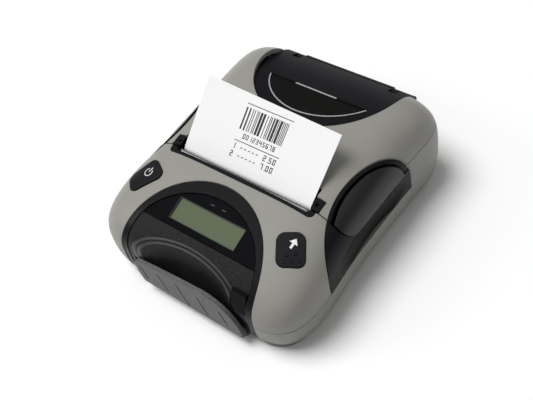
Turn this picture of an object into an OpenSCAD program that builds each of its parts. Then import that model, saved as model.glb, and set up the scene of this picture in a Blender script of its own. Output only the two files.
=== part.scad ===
// Portable receipt printer. X runs to the right, Y to the rear and Z up, in millimetres.
// The origin is on the floor, under the middle of the printer.

/* [Housing] */
// Half of the housing's width at its corners
half_w = 63.7; // [62.5:0.1:65]
// Half of the housing's depth
half_d = 74.7; // [74:0.1:75.5]
// Height of the parting line between the lower and upper case
part_z = 18.5; // [17.5:0.1:19.5]
// Rise of the top above the parting line at mid depth
top_h = 35.9; // [35:0.1:37]
// Thickness of the case walls
wall = 2.2; // [1.8:0.1:2.4]
// Height of the cover's lower edge
cover_z = 36.5; // [36:0.1:37]
// Visible gap between neighbouring outer pieces
seam = 0.3; // [0.2:0.05:0.4]
// Height of the rubber feet under the floor of the case
foot_h = 2; // [1.8:0.1:2.4]
// Radius of the rubber feet
foot_r = 14; // [13:0.1:14.2]
// Height of the feet's outer rims
foot_rise = 5; // [4:0.1:5.4]

/* [Front] */
// Half width of the arched opening in the front case
arch_w = 42; // [41.5:0.1:42.5]
// Length of the arched opening from front to rear
arch_l = 45.5; // [45:0.1:46]
// Half width of the lens arch
lens_w = 38; // [37.5:0.1:38.4]
// Length of the lens arch
lens_l = 34; // [33.5:0.1:34.5]
// Visible width of the display
display_w = 40.6; // [38:0.1:42]
// Visible depth of the display
display_d = 11.5; // [10.5:0.1:12]
// Radius of the finger scoop's hollow
scoop_r = 97.2; // [90:0.1:105]
// Height of the scoop's top edge
scoop_z = 36.7; // [36:0.1:37]
// Thickness of the card slot's outer lip
lip_t = 2.2; // [2:0.1:2.6]
// Width of the card slot
card_gap = 2.2; // [1.8:0.1:2.4]
// Distance of the lip's left end from the middle
lip_left = 31.8; // [31:0.1:32.2]
// Distance of the lip's right end from the middle
lip_right = 35.4; // [34.8:0.1:35.8]
// Height of the lip's top
lip_top = 29; // [28:0.1:29.4]
// Height of the lip's lower edge
lip_low = 6.5; // [6:0.1:7]

/* [Buttons] */
// Distance of the buttons from the middle
key_x = 45; // [44.5:0.1:45.5]
// Place of the buttons from front to rear
key_y = -42; // [-42.5:0.1:-41.5]
// Turn of the buttons in plan
key_turn = 32; // [28:1:35]
// Travel of the buttons
key_travel = 0.8; // [0.5:0.1:0.9]

/* [Paper] */
// Width of the paper
paper_w = 79.5; // [79:0.1:80]
// Thickness of the paper strip
paper_t = 0.2; // [0.15:0.05:0.25]
// Diameter of the paper roll
roll_d = 44; // [40:0.5:45]
// Diameter of the roll's core
core_d = 16; // [14:0.5:18]
// Radius of the roll bay
bay_r = 24; // [23.6:0.1:24.2]
// Place of the roll bay's axis from front to rear
bay_y = 20; // [19.8:0.1:20.4]
// Length of the printed strip that stands out of the slot
strip_l = 38.7; // [34:0.1:39]
// Lean of the printed strip above the level
strip_lean = 39.1; // [38:0.1:41]

/* [Mechanism] */
// Radius of the rubber platen
platen_r = 5; // [4.8:0.1:5.1]
// Place of the platen's axis from front to rear
platen_y = -11.5; // [-11.7:0.1:-11.3]
// Height of the platen's axis
platen_z = 38.5; // [38.2:0.1:38.8]
// Radius of the platen's shaft
shaft_r = 2; // [1.8:0.1:2.1]
// Tooth module of the gears
gear_m = 0.5; // [0.48:0.01:0.52]
// Teeth of the platen gear
platen_teeth = 24; // [24:2:26]
// Teeth of the idler gear
idler_teeth = 30; // [28:2:30]
// Teeth of the motor's pinion
pinion_teeth = 12; // [12:1:13]
// Width of the gears
gear_w = 2.8; // [2.4:0.1:3]
// Radius of the stepper motor
motor_r = 7.2; // [6.8:0.1:7.3]

/* [Hinge] */
// Place of the cover's hinge from front to rear
hinge_y = 72; // [71.7:0.1:72.2]
// Height of the cover's hinge
hinge_z = 38; // [37.8:0.1:38.2]
// Radius of the hinge barrel
barrel_r = 4; // [3.8:0.1:4.1]
// Radius of the hinge pin
pin_r = 1.25; // [1:0.05:1.4]
// Half length of the raised hinge barrel
barrel_w = 28; // [26:0.5:29]

/* [Battery] */
// Width of the battery pack
battery_w = 74; // [70:0.5:75]
// Depth of the battery pack
battery_d = 24; // [22:0.5:24.5]
// Height of the battery pack
battery_h = 27; // [25:0.5:27.5]

/* [Hidden] */

// Clearance between pieces that face each other
fit = 0.3;
// Clearance of a running shaft in its bore
run = 0.05;
// Middle of the housing from front to rear
body_y = 1;
// How square the plan outline is
corner_n = 7;
// How the top falls towards the rim: along the plan and in height
drop_p = 4.2;
drop_q = 3.5;
// The sides draw in a little around this place
waist_depth = 0.045;
waist_y = 8;
waist_reach = 45;
// The top rises towards the rear over this unit of length
crown_unit = 70;
crown_rise = 0.22;
crown_bow = 0.165;
crown_twist = 0.019;
// Larger than the printer, for cutting blocks
far = 200;

floor_z = foot_h - 0.5;
floor_top = floor_z + wall;
front_y = body_y - half_d;
seam_y = -20.5;
key_colour = [0.13, 0.13, 0.13];
black = [0.10, 0.10, 0.11];
grey = [0.60, 0.60, 0.57];

// Form of the housing

function waist(y) = 1 - waist_depth*exp(-pow(abs(y - waist_y)/waist_reach, 4));

function crown(y) = let(u = y/crown_unit) 1 + crown_rise*u - crown_bow*u*u - crown_twist*u*u*u;

function square_reach(a) = pow(pow(abs(cos(a)), corner_n) + pow(abs(sin(a)), corner_n), -1/corner_n);

// Height of the housing's skin over a point of the plan
function skin_z(x, y, inset = 0) = let(
    u = abs(x)/((half_w - inset)*waist(y)),
    v = abs(y - body_y)/(half_d - inset),
    f = min(0.9999, pow(pow(u, corner_n) + pow(v, corner_n), 1/corner_n)))
    part_z + (top_h*crown(y) - inset)*pow(1 - pow(f, drop_p), 1/drop_q);

// One ring of the skin: f is its share of the plan outline, h its share of the rise
function skin_ring(f, h, inset, angles) = [for (a = angles) let(
    r = f*square_reach(a),
    y = body_y + (half_d - inset)*r*sin(a))
    [(half_w - inset)*waist(y)*r*cos(a), y, part_z + (top_h*crown(y) - inset)*h]];

// One ring of the skin below the parting line, at height z
function low_ring(f, z, inset, angles) = [for (p = skin_ring(f, 0, inset, angles)) [p.x, p.y, z]];

// The housing as a solid, drawn in by inset, or the sector of it between two angles
module body_form(inset = 0, from = 0, to = 360, step = 5, rise = 10) {
    whole = to - from == 360;
    cells = round((to - from)/step);
    angles = [for (i = [0:cells - (whole ? 1 : 0)]) from + step*i];
    n = len(angles);
    rings = concat(
        [low_ring(0.93, floor_z + inset, inset, angles), low_ring(0.965, 4.2 + inset/2, inset, angles),
            low_ring(0.99, 8 + inset/2, inset, angles)],
        [for (t = [0:rise:90 - rise]) skin_ring(pow(cos(t), 2/drop_p), pow(sin(t), 2/drop_q), inset, angles)],
        [skin_ring(0.26, 1, inset, angles), skin_ring(0.12, 1, inset, angles)]);
    rows = len(rings);
    low = rows*n;
    top = low + 1;
    points = concat([for (r = rings) each r],
        [[0, body_y, floor_z + inset], [0, body_y, part_z + top_h*crown(body_y) - inset]]);
    skin = [for (k = [0:rows - 2], i = [0:cells - 1]) let(j = (i + 1) % n)
        each [[k*n + i, (k + 1)*n + i, (k + 1)*n + j], [k*n + i, (k + 1)*n + j, k*n + j]]];
    ends = [for (i = [0:cells - 1]) let(j = (i + 1) % n)
        each [[low, i, j], [top, (rows - 1)*n + j, (rows - 1)*n + i]]];
    sides = whole ? [] : concat(
        [for (k = [0:rows - 2]) each [[low, (k + 1)*n, k*n], [low, k*n + n - 1, (k + 1)*n + n - 1]]],
        [[low, top, (rows - 1)*n], [low, (rows - 1)*n + n - 1, top]]);
    polyhedron(points, concat(skin, ends, sides));
}

// A coarser housing solid, for inner walls
module core_form(inset, from = 0, to = 360) body_form(inset, from, to, 10, 18);

// A block under a patch of the skin, drawn in by inset
module skin_block(x, y, half, inset, low = 30, cells = 6) {
    n = cells + 1;
    grid = [for (j = [0:cells], i = [0:cells]) [x - half + 2*half*i/cells, y - half + 2*half*j/cells]];
    points = concat([for (p = grid) [p.x, p.y, low]], [for (p = grid) [p.x, p.y, skin_z(p.x, p.y, inset)]]);
    up = n*n;
    rim = concat([for (i = [0:cells - 1]) i], [for (j = [0:cells - 1]) j*n + cells],
        [for (i = [cells:-1:1]) cells*n + i], [for (j = [cells:-1:1]) j*n]);
    faces = concat(
        [for (j = [0:cells - 1], i = [0:cells - 1]) let(a = j*n + i) each [
            [a, a + 1, a + n + 1], [a, a + n + 1, a + n],
            [up + a, up + a + n + 1, up + a + 1], [up + a, up + a + n, up + a + n + 1]]],
        [for (k = [0:len(rim) - 1]) let(a = rim[k], b = rim[(k + 1) % len(rim)])
            each [[a, up + a, up + b], [a, up + b, b]]]);
    polyhedron(points, faces);
}

// Plan outlines of the openings in the housing

side_x = 47.7;
side_y = -4;
side_front_r = 50;
side_rear_r = 68;
arch_y = front_y - 1.3;
lens_y = arch_y + 4.5;
insert_y = 66;
insert_w = 41.5;
insert_l = 48;
moon_y = 44;
moon_w = 31.5;
moon_l = 20.5;

// A half ellipse that runs on as a straight band to the front
module front_arch(half, length, y) {
    polygon(concat([for (t = [0:6:180]) [half*cos(t), y + length*sin(t)]], [[-half, -far], [half, -far]]));
}

module arch_plan(inset = 0) front_arch(arch_w - inset, arch_l - inset, arch_y);

module lens_plan(inset = 0) front_arch(lens_w - inset, lens_l - inset, lens_y);

module side_plan(inset = 0) {
    polygon(concat(
        [for (t = [90:5:175]) [side_x + side_rear_r, side_y] + (side_rear_r - inset)*[cos(t), sin(t)]],
        [for (t = [180:5:270]) [side_x + side_front_r, side_y] + (side_front_r - inset)*[cos(t), sin(t)]],
        [[side_x + side_rear_r, side_y - side_front_r + inset]]));
}

module both_sides(inset = 0) {
    side_plan(inset);
    mirror([1, 0]) side_plan(inset);
}

module insert_plan(inset = 0) {
    a = insert_w - inset;
    polygon(concat([for (t = [180:6:360]) [a*cos(t), insert_y + (insert_l - inset)*sin(t)]],
        [[a, far], [-a, far]]));
}

module moon_plan(grow = 0) {
    polygon([for (t = [180:6:360]) [(moon_w + grow)*cos(t), moon_y + grow + (moon_l + 2*grow)*sin(t)]]);
}

// Common tools

// A block from one corner to the other
module block(a, b) translate(a) cube(b - a);

// A cylinder along X between two places
module rod_x(r, x0, x1, y, z, sides = 48) translate([x0, y, z]) rotate([0, 90, 0])
    cylinder(r = r, h = x1 - x0, $fn = sides);

// A profile drawn in Y and Z, run along X
module along_x(x0, x1) translate([x0, 0, 0]) rotate([90, 0, 90]) linear_extrude(x1 - x0) children();

module mirrored() {
    children();
    mirror([1, 0, 0]) children();
}

module round_rect(w, d, r) {
    square([w - 2*r, d], center = true);
    square([w, d - 2*r], center = true);
    for (sx = [-1, 1], sy = [-1, 1]) translate([sx*(w/2 - r), sy*(d/2 - r)]) circle(r = r, $fn = 32);
}

function arc(c, r, a0, a1, n) = [for (i = [0:n]) let(a = a0 + (a1 - a0)*i/n) c + r*[cos(a), sin(a)]];

// Places that several pieces share

bay_w = paper_w/2 + 0.85;
bay_wall = 1.6;
bay_z = floor_top + 1 + bay_wall + bay_r;
roll_r = roll_d/2;
roll_z = bay_z - bay_r + roll_r + fit;
deck_z = cover_z - 1.1;
deck_t = 2;
deck_w = 49;

plate_x = paper_w/2 + 1.45;
plate_t = 1.6;
arm_x = 44;
arm_t = 1.8;
gear_x = -46.2;
bush_r = shaft_r + 0.5;
frame_z = 12;
board_t = 1.6;
base_t = 1.5;
frame_front = -31;
frame_rear = -6;
idler_y = platen_y;
idler_z = platen_z - gear_m*(platen_teeth + idler_teeth)/2;
pinion_y = idler_y - gear_m*(idler_teeth + pinion_teeth)/2;
pinion_z = idler_z;
head_y = platen_y - platen_r - 0.5;
head_pivot = [head_y - 2.3, platen_z - 3.6];
nip_y = platen_y - platen_r - 0.15;
slot_y = -18.6;
slot_z = 46.3;
trim_y = -24.7;
tab_x = plate_x - 0.3;
tab_w = 4.8;

screw_places = [[50, -58], [52, 57]];
foot_places = [[43, -55], [43, 57]];
board_posts = [[40, -58.5], [40, -37]];
frame_posts = [[37, -27], [37, -10]];

battery_front = 49.3;
battery_z = floor_top + 0.4;
door_y = battery_front + battery_d;
lug_x = barrel_w + 0.6;
lug_w = 4.6;
lug_r = barrel_r - 0.7;

// Lower case and its fixed trim

module case_shell() {
    difference() {
        intersection() {
            body_form();
            union() {
                block([-far, -far, 0], [far, far, part_z - seam/2]);
                block([-far, side_y, 0], [far, far, cover_z - seam]);
            }
        }
        core_form(wall);
        translate([0, 0, part_z - seam/2]) linear_extrude(far) both_sides();
        block([-arch_w, -far, 0], [arch_w, lens_y + 7, far]);
        block([-battery_w/2 - 1.5, battery_front, floor_top + 0.1],
            [battery_w/2 + 1.5, far, battery_z + battery_h + 0.6]);
        rod_x(barrel_r + 0.4, -56, 56, hinge_y, hinge_z);
    }
}

module hinge_lug(x) {
    rod_x(lug_r, x, x + lug_w, hinge_y, hinge_z);
    block([x, hinge_y - lug_r, hinge_z - 6], [x + lug_w, hinge_y + lug_r - 0.3, hinge_z]);
}

module bottom_case() color(grey) difference() {
    union() {
        case_shell();
        mirrored() {
            for (p = screw_places) translate([p.x, p.y, floor_z + 1])
                cylinder(r = 3.4, h = part_z - floor_z - 1.4, $fn = 40);
            for (p = concat(board_posts, frame_posts)) translate([p.x, p.y, floor_z + 1])
                cylinder(r = 2.6, h = frame_z - floor_z - 1, $fn = 32);
            block([battery_w/2 + 0.5, battery_front - 1.6, floor_z + 1],
                [battery_w/2 + 2, door_y - 3, battery_z + battery_h + 0.4]);
            block([bay_w - 8, bay_y - 6, floor_z + 1], [bay_w - 6.5, bay_y + 6, floor_top + 0.8]);
            hinge_lug(lug_x);
        }
        block([-battery_w/2 - 2, battery_front - 1.8, floor_z + 1],
            [battery_w/2 + 2, battery_front - 0.3, deck_z - deck_t - 0.2]);
    }
    rod_x(pin_r + 0.02, -far, far, hinge_y, hinge_z);
    mirrored() {
        for (p = foot_places) translate([p.x, p.y, 0]) cylinder(r = foot_r + 0.2, h = foot_h, $fn = 96);
        for (p = concat(board_posts, frame_posts)) translate([p.x, p.y, frame_z - 5.5])
            cylinder(r = small_r + 0.02, h = 6, $fn = 24);
        for (p = screw_places) translate([p.x, p.y, -1]) {
            cylinder(r = 1.35, h = far, $fn = 24);
            cylinder(r = 2.7, h = floor_z + 2.8, $fn = 32);
        }
    }
}

module case_screws() color("dimgray") mirrored() for (p = screw_places) translate([p.x, p.y, floor_z + 0.6]) {
    difference() {
        cylinder(r = 2.4, h = 1.1, $fn = 32);
        translate([0, 0, -1]) cylinder(r = 1.1, h = 1.6, $fn = 6);
    }
    cylinder(r = 1.25, h = 17.5, $fn = 24);
}

small_r = 1;

// Small screws hold the board and the print frame on their posts
module board_screws() color("silver") mirrored() {
    for (p = board_posts) translate([p.x, p.y, frame_z + board_t]) small_screw();
    for (p = frame_posts) translate([p.x, p.y, frame_z + base_t]) small_screw();
}

module small_screw() difference() {
    union() {
        cylinder(r = 1.85, h = 1.1, $fn = 32);
        translate([0, 0, -5]) cylinder(r = small_r, h = 5.5, $fn = 24);
    }
    translate([0, 0, 0.5]) for (a = [0, 90]) rotate([0, 0, a]) block([-1.2, -0.25, 0], [1.2, 0.25, 1]);
}

// Each foot is a round pad whose rim rises outside the rounded edge of the case
module rubber_feet() color([0.3, 0.3, 0.3]) difference() {
    mirrored() for (p = foot_places) translate([p.x, p.y, 0]) {
        cylinder(r1 = foot_r - 0.6, r2 = foot_r, h = 0.6, $fn = 96);
        translate([0, 0, 0.6]) cylinder(r = foot_r, h = foot_rise - 0.6, $fn = 96);
    }
    difference() {
        body_form(-0.05);
        mirrored() for (p = foot_places) translate([p.x, p.y, -1])
            cylinder(r = foot_r + 1, h = foot_h + 1, $fn = 96);
    }
}

module key_place(side) translate([side*key_x, key_y, 0]) rotate([0, 0, side*key_turn]) children();

module feed_outline(grow = 0) round_rect(13.2 + 2*grow, 15.8 + 2*grow, 3.8 + grow);

// The power key narrows towards its front corner
module power_outline(grow = 0) polygon(concat(
    arc([1.9, 4.1], 3.8 + grow, -8, 90, 8), arc([-4.3, 4.2], 3.6 + grow, 90, 178, 8),
    arc([-2.6, -4.7], 5.2 + grow, 182, 245, 6), arc([0.3, -6.4], 3.8 + grow, 250, 352, 9)));

module front_case() color(grey) {
    difference() {
        intersection() {
            body_form(0, -185, 5);
            block([-far, -far, part_z + seam/2], [far, seam_y - seam/2, far]);
        }
        core_form(wall, -190, 10);
        linear_extrude(far) arch_plan();
        linear_extrude(far) both_sides();
        block([-44.8, trim_y - 0.2, 0], [44.8, far, far]);
        key_place(1) linear_extrude(far) feed_outline(fit);
        key_place(-1) linear_extrude(far) power_outline(fit);
    }
    mirrored() {
        difference() {
            translate([screw_places[0].x, screw_places[0].y, part_z + 0.2])
                cylinder(r = 3.4, h = skin_z(screw_places[0].x, screw_places[0].y, wall) - part_z, $fn = 40);
            translate([screw_places[0].x, screw_places[0].y, part_z - 1]) cylinder(r = 1.25, h = 8, $fn = 24);
        }
        for (side = [-1, 1]) let(dx = side*post_dx) translate([key_x, key_y, 0]) rotate([0, 0, key_turn])
            translate([dx, 0, switch_z + 1.3]) cylinder(r = 1.3, $fn = 20,
                h = skin_z(key_x + dx*cos(key_turn), key_y + dx*sin(key_turn), wall) - switch_z - 0.6);
    }
}

switch_z = 33;
post_dx = 10.5;

module key_switches() color("seagreen") for (side = [-1, 1]) key_place(side) translate([0, 0, switch_z]) {
    block([-post_dx - 1.4, -5, 0], [post_dx + 1.4, 5, 1.2]);
    block([-3, -3, 1.2], [3, 3, 4.4]);
    translate([0, 0, 4.4]) cylinder(r = 1.6, h = 0.5, $fn = 24);
}

// A key: its cap fills the hole, its flange stays behind the skin and its stem reaches the switch
module key(side) color(key_colour) {
    x = side*key_x;
    difference() {
        union() {
            intersection() {
                skin_block(x, key_y, 13, -0.7);
                key_place(side) linear_extrude(far) children(0);
            }
            intersection() {
                skin_block(x, key_y, 14, wall + 0.7);
                key_place(side) linear_extrude(far) children(1);
            }
        }
        skin_block(x, key_y, 15, wall + 1.9, 20);
    }
    translate([x, key_y, switch_z + 4.9 + key_travel + fit])
        cylinder(r = 2, h = skin_z(x, key_y, wall) - switch_z - 4.9 - key_travel - fit, $fn = 32);
}

module power_button() key(-1) {
    power_outline();
    power_outline(1);
}

module feed_button() key(1) {
    feed_outline();
    feed_outline(1);
}

// Black side grips, hollowed for the fingers

hollow_r = 11;
hollow_ring = 100;
hollow_depth = 5;
socket_z = 27;
jack_y = 22;
data_y = 8;
jack_r = 2.75;

module finger_hollow() translate([half_w*waist(2) - hollow_depth + hollow_r + hollow_ring, 2, 29.5])
    rotate_extrude($fn = 120) translate([hollow_ring, 0]) circle(r = hollow_r, $fn = 40);

module side_grip() difference() {
    intersection() {
        body_form(0.25, -55, 55);
        translate([0, 0, part_z + seam/2]) linear_extrude(far) side_plan(seam);
        union() {
            block([0, -far, 0], [far, far, cover_z - seam]);
            block([0, -far, 0], [far, seam_y - seam/2, far]);
        }
    }
    core_form(8.2, -60, 60);
    finger_hollow();
}

module side_panel_right() color(black) side_grip();

module side_panel_left() color(black) difference() {
    mirror([1, 0, 0]) side_grip();
    rod_x(5.2, -far, 0, jack_y, socket_z);
    block([-far, data_y - 4.6, socket_z - 3], [0, data_y + 4.6, socket_z + 3]);
}

module charge_jack() color(black) difference() {
    union() {
        rod_x(5, -57.2, -47, jack_y, socket_z);
        block([-47.2, jack_y - 5.2, socket_z - 5.2], [-43.6, jack_y + 5.2, socket_z + 5.2]);
    }
    rod_x(jack_r, -far, -48, jack_y, socket_z);
}

module data_socket() color("silver") difference() {
    block([-57.4, data_y - 4.3, socket_z - 2.7], [-44, data_y + 4.3, socket_z + 2.7]);
    block([-far, data_y - 3.7, socket_z - 2.1], [-49, data_y + 3.7, socket_z + 2.1]);
    block([-far, data_y - 2.5, socket_z - 0.5], [-49, data_y + 2.5, socket_z + 0.5]);
}

// Arched front: satin bezel, gloss lens, display, textured panel and card slot

lens_edge = -57.8;
panel_low = 4.3;
display_y = -49.2;
display_tilt = 18.3;
display_sink = 0.8;
lip_y = -76;
slot_back = lip_y + lip_t + card_gap;
card_z = 14.5;
panel_back = slot_back + 6;

module lcd_bezel() color([0.20, 0.20, 0.21]) difference() {
    intersection() {
        body_form(0.4, -155, -25);
        translate([0, 0, panel_low]) linear_extrude(far) arch_plan(seam);
    }
    linear_extrude(far) lens_plan();
    core_form(2.6, -160, -20);
}

module at_display() translate([0, display_y, skin_z(0, display_y, 0.9)]) rotate([display_tilt, 0, 0])
    children();

module lcd_window() color([0.03, 0.03, 0.03]) difference() {
    intersection() {
        body_form(0.9, -150, -30);
        linear_extrude(far) lens_plan(seam);
        block([-far, lens_edge + seam/2, part_z + 10], [far, 0, far]);
    }
    core_form(2.9, -160, -20);
    at_display() translate([0, 0, -4]) linear_extrude(8) round_rect(display_w + fit, display_d + fit, 0.5);
}

module lcd_glass() color([0.37, 0.42, 0.32]) at_display() translate([0, 0, -display_sink - 1.6])
    linear_extrude(1.6) round_rect(display_w - 0.1, display_d - 0.1, 0.4);

module lcd_module() color("dimgray") at_display() translate([0, 0, -display_sink - 5.2]) {
    block([-display_w/2 - 4, -7.6, 0], [display_w/2 + 4, 7.6, 2.4]);
    block([-display_w/2 + 1, -display_d/2 + 0.4, 2.4], [display_w/2 - 1, display_d/2 - 0.4, 3.5]);
}

scoop_lean = 19.1;
scoop_back = -64.4;

// The scoop is a shallow round hollow that leans back with the panel
module finger_scoop() translate([0, scoop_back, scoop_z]) rotate([-scoop_lean, 0, 0])
    translate([0, -scoop_r, -60]) cylinder(r = scoop_r, h = 120, $fn = 360);

// The lip's right end falls away in a quarter of an ellipse
lip_peak = 14;
lip_foot = 7;
function lip_end(t, dx = 0, dz = 0) =
    [lip_peak + (lip_right + dx - lip_peak)*sin(t), lip_foot + (lip_top + dz - lip_foot)*cos(t)];

// The panel stands back behind the lip
module slot_recess() translate([0, slot_back, 0]) rotate([90, 0, 0]) linear_extrude(far) polygon(concat(
    [[-lip_left - 3.2, 0], [-lip_left - 3.2, lip_top - 8.8], [lip_peak, lip_top - 7]],
    [for (t = [15:7.5:90]) lip_end(t, 4, 1.9)], [[lip_right + 4, 0]]));

// The sensor window stands upright, flush at its foot and proud at its top
ir_x = [28.8, 37.4];
ir_low = [-72.9, 24.3];
ir_high = [-68.9, 34.6];
ir_deep = 3.6;

module ir_profile(x0, x1, front, back) along_x(x0, x1)
    polygon([ir_low - [front, 0], ir_high - [front, 0], ir_high + [back, 0], ir_low + [back, 0]]);

module front_panel() color([0.12, 0.12, 0.12]) difference() {
    intersection() {
        body_form(0.7, -140, -40);
        translate([0, 0, panel_low]) linear_extrude(far) lens_plan(seam);
        block([-far, -far, 0], [far, lens_edge - seam/2, far]);
    }
    core_form(8, -150, -30);
    block([-15, panel_back, panel_low + 3], [15, 0, part_z]);
    finger_scoop();
    slot_recess();
    ir_profile(ir_x[0] - 0.2, ir_x[1] + 0.2, 20, ir_deep + 0.2);
    block([-5.3, slot_back - 1, card_z - 2.9], [5.3, 0, card_z + 2.9]);
}

module ir_window() color([0.16, 0.11, 0.10]) difference() {
    ir_profile(ir_x[0], ir_x[1], 0, ir_deep);
    slot_recess();
}

module lip_outline() {
    left = [-lip_left + 2.7, lip_top - 5.3];
    polygon(concat(
        [[lip_right - 0.6, lip_low], [-lip_left + 2.4, lip_low], [-lip_left, lip_low + 7.5]],
        arc([-lip_left + 3.6, lip_top - 8.8], 3.6, 180, 105, 5),
        [for (s = [0.25:0.25:0.75]) left + ([lip_peak, lip_top] - left)*s + [0, 0.5*sin(180*s)]],
        [for (t = [0:10:90]) lip_end(t)]));
}

// Grooves lean across the lip, the longest in the middle
groove_step = 13;
groove_lean = 17.5;

module card_lip() color([0.22, 0.22, 0.22]) difference() {
    union() {
        translate([0, lip_y + lip_t, 0]) rotate([90, 0, 0]) linear_extrude(lip_t) lip_outline();
        along_x(-lip_left + 3, lip_right - 1.2) polygon([
            [lip_y + 0.1, lip_low], [lip_y + 0.1, lip_low + 2.2], [slot_back - fit, lip_low + 2.2],
            [slot_back - fit, panel_low - fit], [lens_y + 7 - fit, panel_low - fit],
            [lens_y + 7 - fit, foot_h + 0.1], [slot_back + 0.2, foot_h + 0.1]]);
    }
    for (i = [-2:2]) let(half = 8.3 - 1.5*abs(i)) translate([i*groove_step - 1, lip_y, 15.7])
        rotate([0, -groove_lean, 0]) block([-0.35, -1, -half], [0.35, 0.5, half]);
}

// The reading head looks into the card slot through the front panel and is pressed out by its spring
module magnetic_head() color("silver") difference() {
    union() {
        block([-5, slot_back - 0.4, card_z - 2.6], [5, slot_back + 4.6, card_z + 2.6]);
        intersection() {
            block([-2.6, slot_back - 1.2, card_z - 2.6], [2.6, slot_back + 1, card_z + 2.6]);
            translate([0, slot_back + 2.2, 0]) cylinder(r = 3.4, h = far, $fn = 48);
        }
    }
    block([-4, slot_back + 3.2, card_z - 1.6], [4, slot_back + 5, card_z + 1.6]);
}

module head_spring() color("goldenrod") {
    block([-14, slot_back + 9, card_z - 2], [14, slot_back + 9.4, card_z + 2]);
    block([-1.5, slot_back + 6.4, card_z - 1], [1.5, slot_back + 9.1, card_z + 1]);
    mirrored() block([12, slot_back + 6.3, card_z - 2], [14, slot_back + 9.1, card_z + 2]);
}

// Slot edge and tear bar

trim_w = 44.4;

module slot_trim() color(black) intersection() {
    union() {
        block([-trim_w, trim_y, skin_z(0, trim_y) - 9], [trim_w, trim_y + 1.7, far]);
        mirrored() block([plate_x - 0.1, trim_y, skin_z(0, trim_y) - 9], [trim_w, seam_y - 0.5, far]);
    }
    translate([0, 0, skin_z(0, trim_y) - 484 - 0.1]) rotate([-90, 0, 0]) translate([0, 0, -40])
        cylinder(r = 484, h = 40, $fn = 720);
}

tear_w = paper_w/2 + 0.4;
tooth = 1.5;
teeth = floor(2*tear_w/tooth);

module tear_bar() color("gainsboro") {
    translate([0, trim_y + 2.4, slot_z - 1]) rotate([34, 0, 0]) linear_extrude(0.7)
        polygon(concat([[-tear_w, 0]], [for (i = [0:teeth - 1]) each [
            [-tear_w + (i + 0.02)*tooth, 2.5], [-tear_w + (i + 0.5)*tooth, 3.3],
            [-tear_w + (i + 0.98)*tooth, 2.5]]],
            [[tear_w, 2.5], [tear_w, 0]]));
    block([-tear_w, trim_y + 2, slot_z - 6.2], [tear_w, trim_y + 2.7, slot_z - 0.5]);
}

// Print mechanism

module bush_slot(r) {
    rod_x(r, -far, far, platen_y, platen_z);
    block([-far, platen_y - r, platen_z], [far, platen_y + r, far]);
}

module print_frame() color([0.45, 0.46, 0.48]) {
    difference() {
        union() {
            mirrored() block([plate_x, frame_front, frame_z],
                [plate_x + plate_t, frame_rear, platen_z + 2.4]);
            block([-plate_x - 0.1, frame_front, frame_z], [plate_x + 0.1, frame_rear - 2, frame_z + base_t]);
            block([-plate_x - 0.1, trim_y + 0.2, platen_z - 4], [plate_x + 0.1, trim_y + 1.8, slot_z - 5]);
        }
        bush_slot(bush_r + 0.1);
        rod_x(1.55, -far, far, head_pivot.x, head_pivot.y, 32);
        rod_x(2.2, -far, 0, pinion_y, pinion_z, 32);
        mirrored() for (p = frame_posts) translate([p.x, p.y, 0]) cylinder(r = 1.2, h = 30, $fn = 24);
    }
    rod_x(1.5, gear_x - gear_w - 0.5, -plate_x - plate_t + 0.1, idler_y, idler_z, 32);
}

head_w = paper_w/2 + 0.9;

module print_head() color([0.2, 0.2, 0.22]) {
    block([-paper_w/2, head_y - 1.5, platen_z - 5.5], [paper_w/2, head_y, platen_z + 1.3]);
    block([-paper_w/2 + 0.5, head_y - 0.1, platen_z - 0.6], [paper_w/2 - 0.5, head_y + 0.12, platen_z + 0.6]);
}

module head_bracket() color("silver") {
    difference() {
        block([-head_w, head_y - 3.1, platen_z - 6], [head_w, head_y - 1.5, platen_z + 1.6]);
        for (i = [-3:3]) block([i*11 - 3, head_y - far, platen_z - 1.2],
            [i*11 + 3, head_y - 1.9, platen_z + 0.4]);
    }
    mirrored() rod_x(1.5, head_w - 0.5, plate_x + plate_t - 0.1, head_pivot.x, head_pivot.y, 32);
}

module stepper_motor() color("dimgray") difference() {
    union() {
        rod_x(motor_r, -plate_x + 0.2, -plate_x + 18, pinion_y, pinion_z, 64);
        rod_x(motor_r - 2, -plate_x + 17.9, -plate_x + 19.5, pinion_y, pinion_z, 48);
        block([-plate_x + 0.2, pinion_y - 3, frame_z + 1.6], [-plate_x + 16, pinion_y + 3, pinion_z]);
    }
    rod_x(1.05, -far, -plate_x + 6, pinion_y, pinion_z, 32);
}

// A spur gear in the plane of X and Y, with a tooth at angle 0
module gear_plan(teeth, bore) {
    pitch = 360/teeth;
    r = gear_m*teeth/2;
    difference() {
        polygon([for (i = [0:teeth - 1]) let(a = pitch*i) each [
            (r - 1.2*gear_m)*[cos(a - 0.30*pitch), sin(a - 0.30*pitch)],
            (r + 0.05*gear_m)*[cos(a - 0.22*pitch), sin(a - 0.22*pitch)],
            (r + 0.9*gear_m)*[cos(a - 0.09*pitch), sin(a - 0.09*pitch)],
            (r + 0.9*gear_m)*[cos(a + 0.09*pitch), sin(a + 0.09*pitch)],
            (r + 0.05*gear_m)*[cos(a + 0.22*pitch), sin(a + 0.22*pitch)],
            (r - 1.2*gear_m)*[cos(a + 0.30*pitch), sin(a + 0.30*pitch)]]]);
        circle(r = bore, $fn = 32);
    }
}

// A gear in the train, turned in the plane of Y and Z, with holes in its web
module gear(teeth, bore, y, z, turn, width = gear_w) translate([gear_x - width, y, z]) rotate([90, 0, 90])
    rotate([0, 0, turn]) difference() {
        linear_extrude(width) gear_plan(teeth, bore);
        if (teeth > 20) for (a = [0:90:270]) rotate([0, 0, a + 10]) translate([gear_m*teeth/4 + 0.5, 0, -1])
            cylinder(r = gear_m*teeth/14, h = width + 2, $fn = 20);
    }

idler_turn = 90 + 180/idler_teeth;
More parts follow.
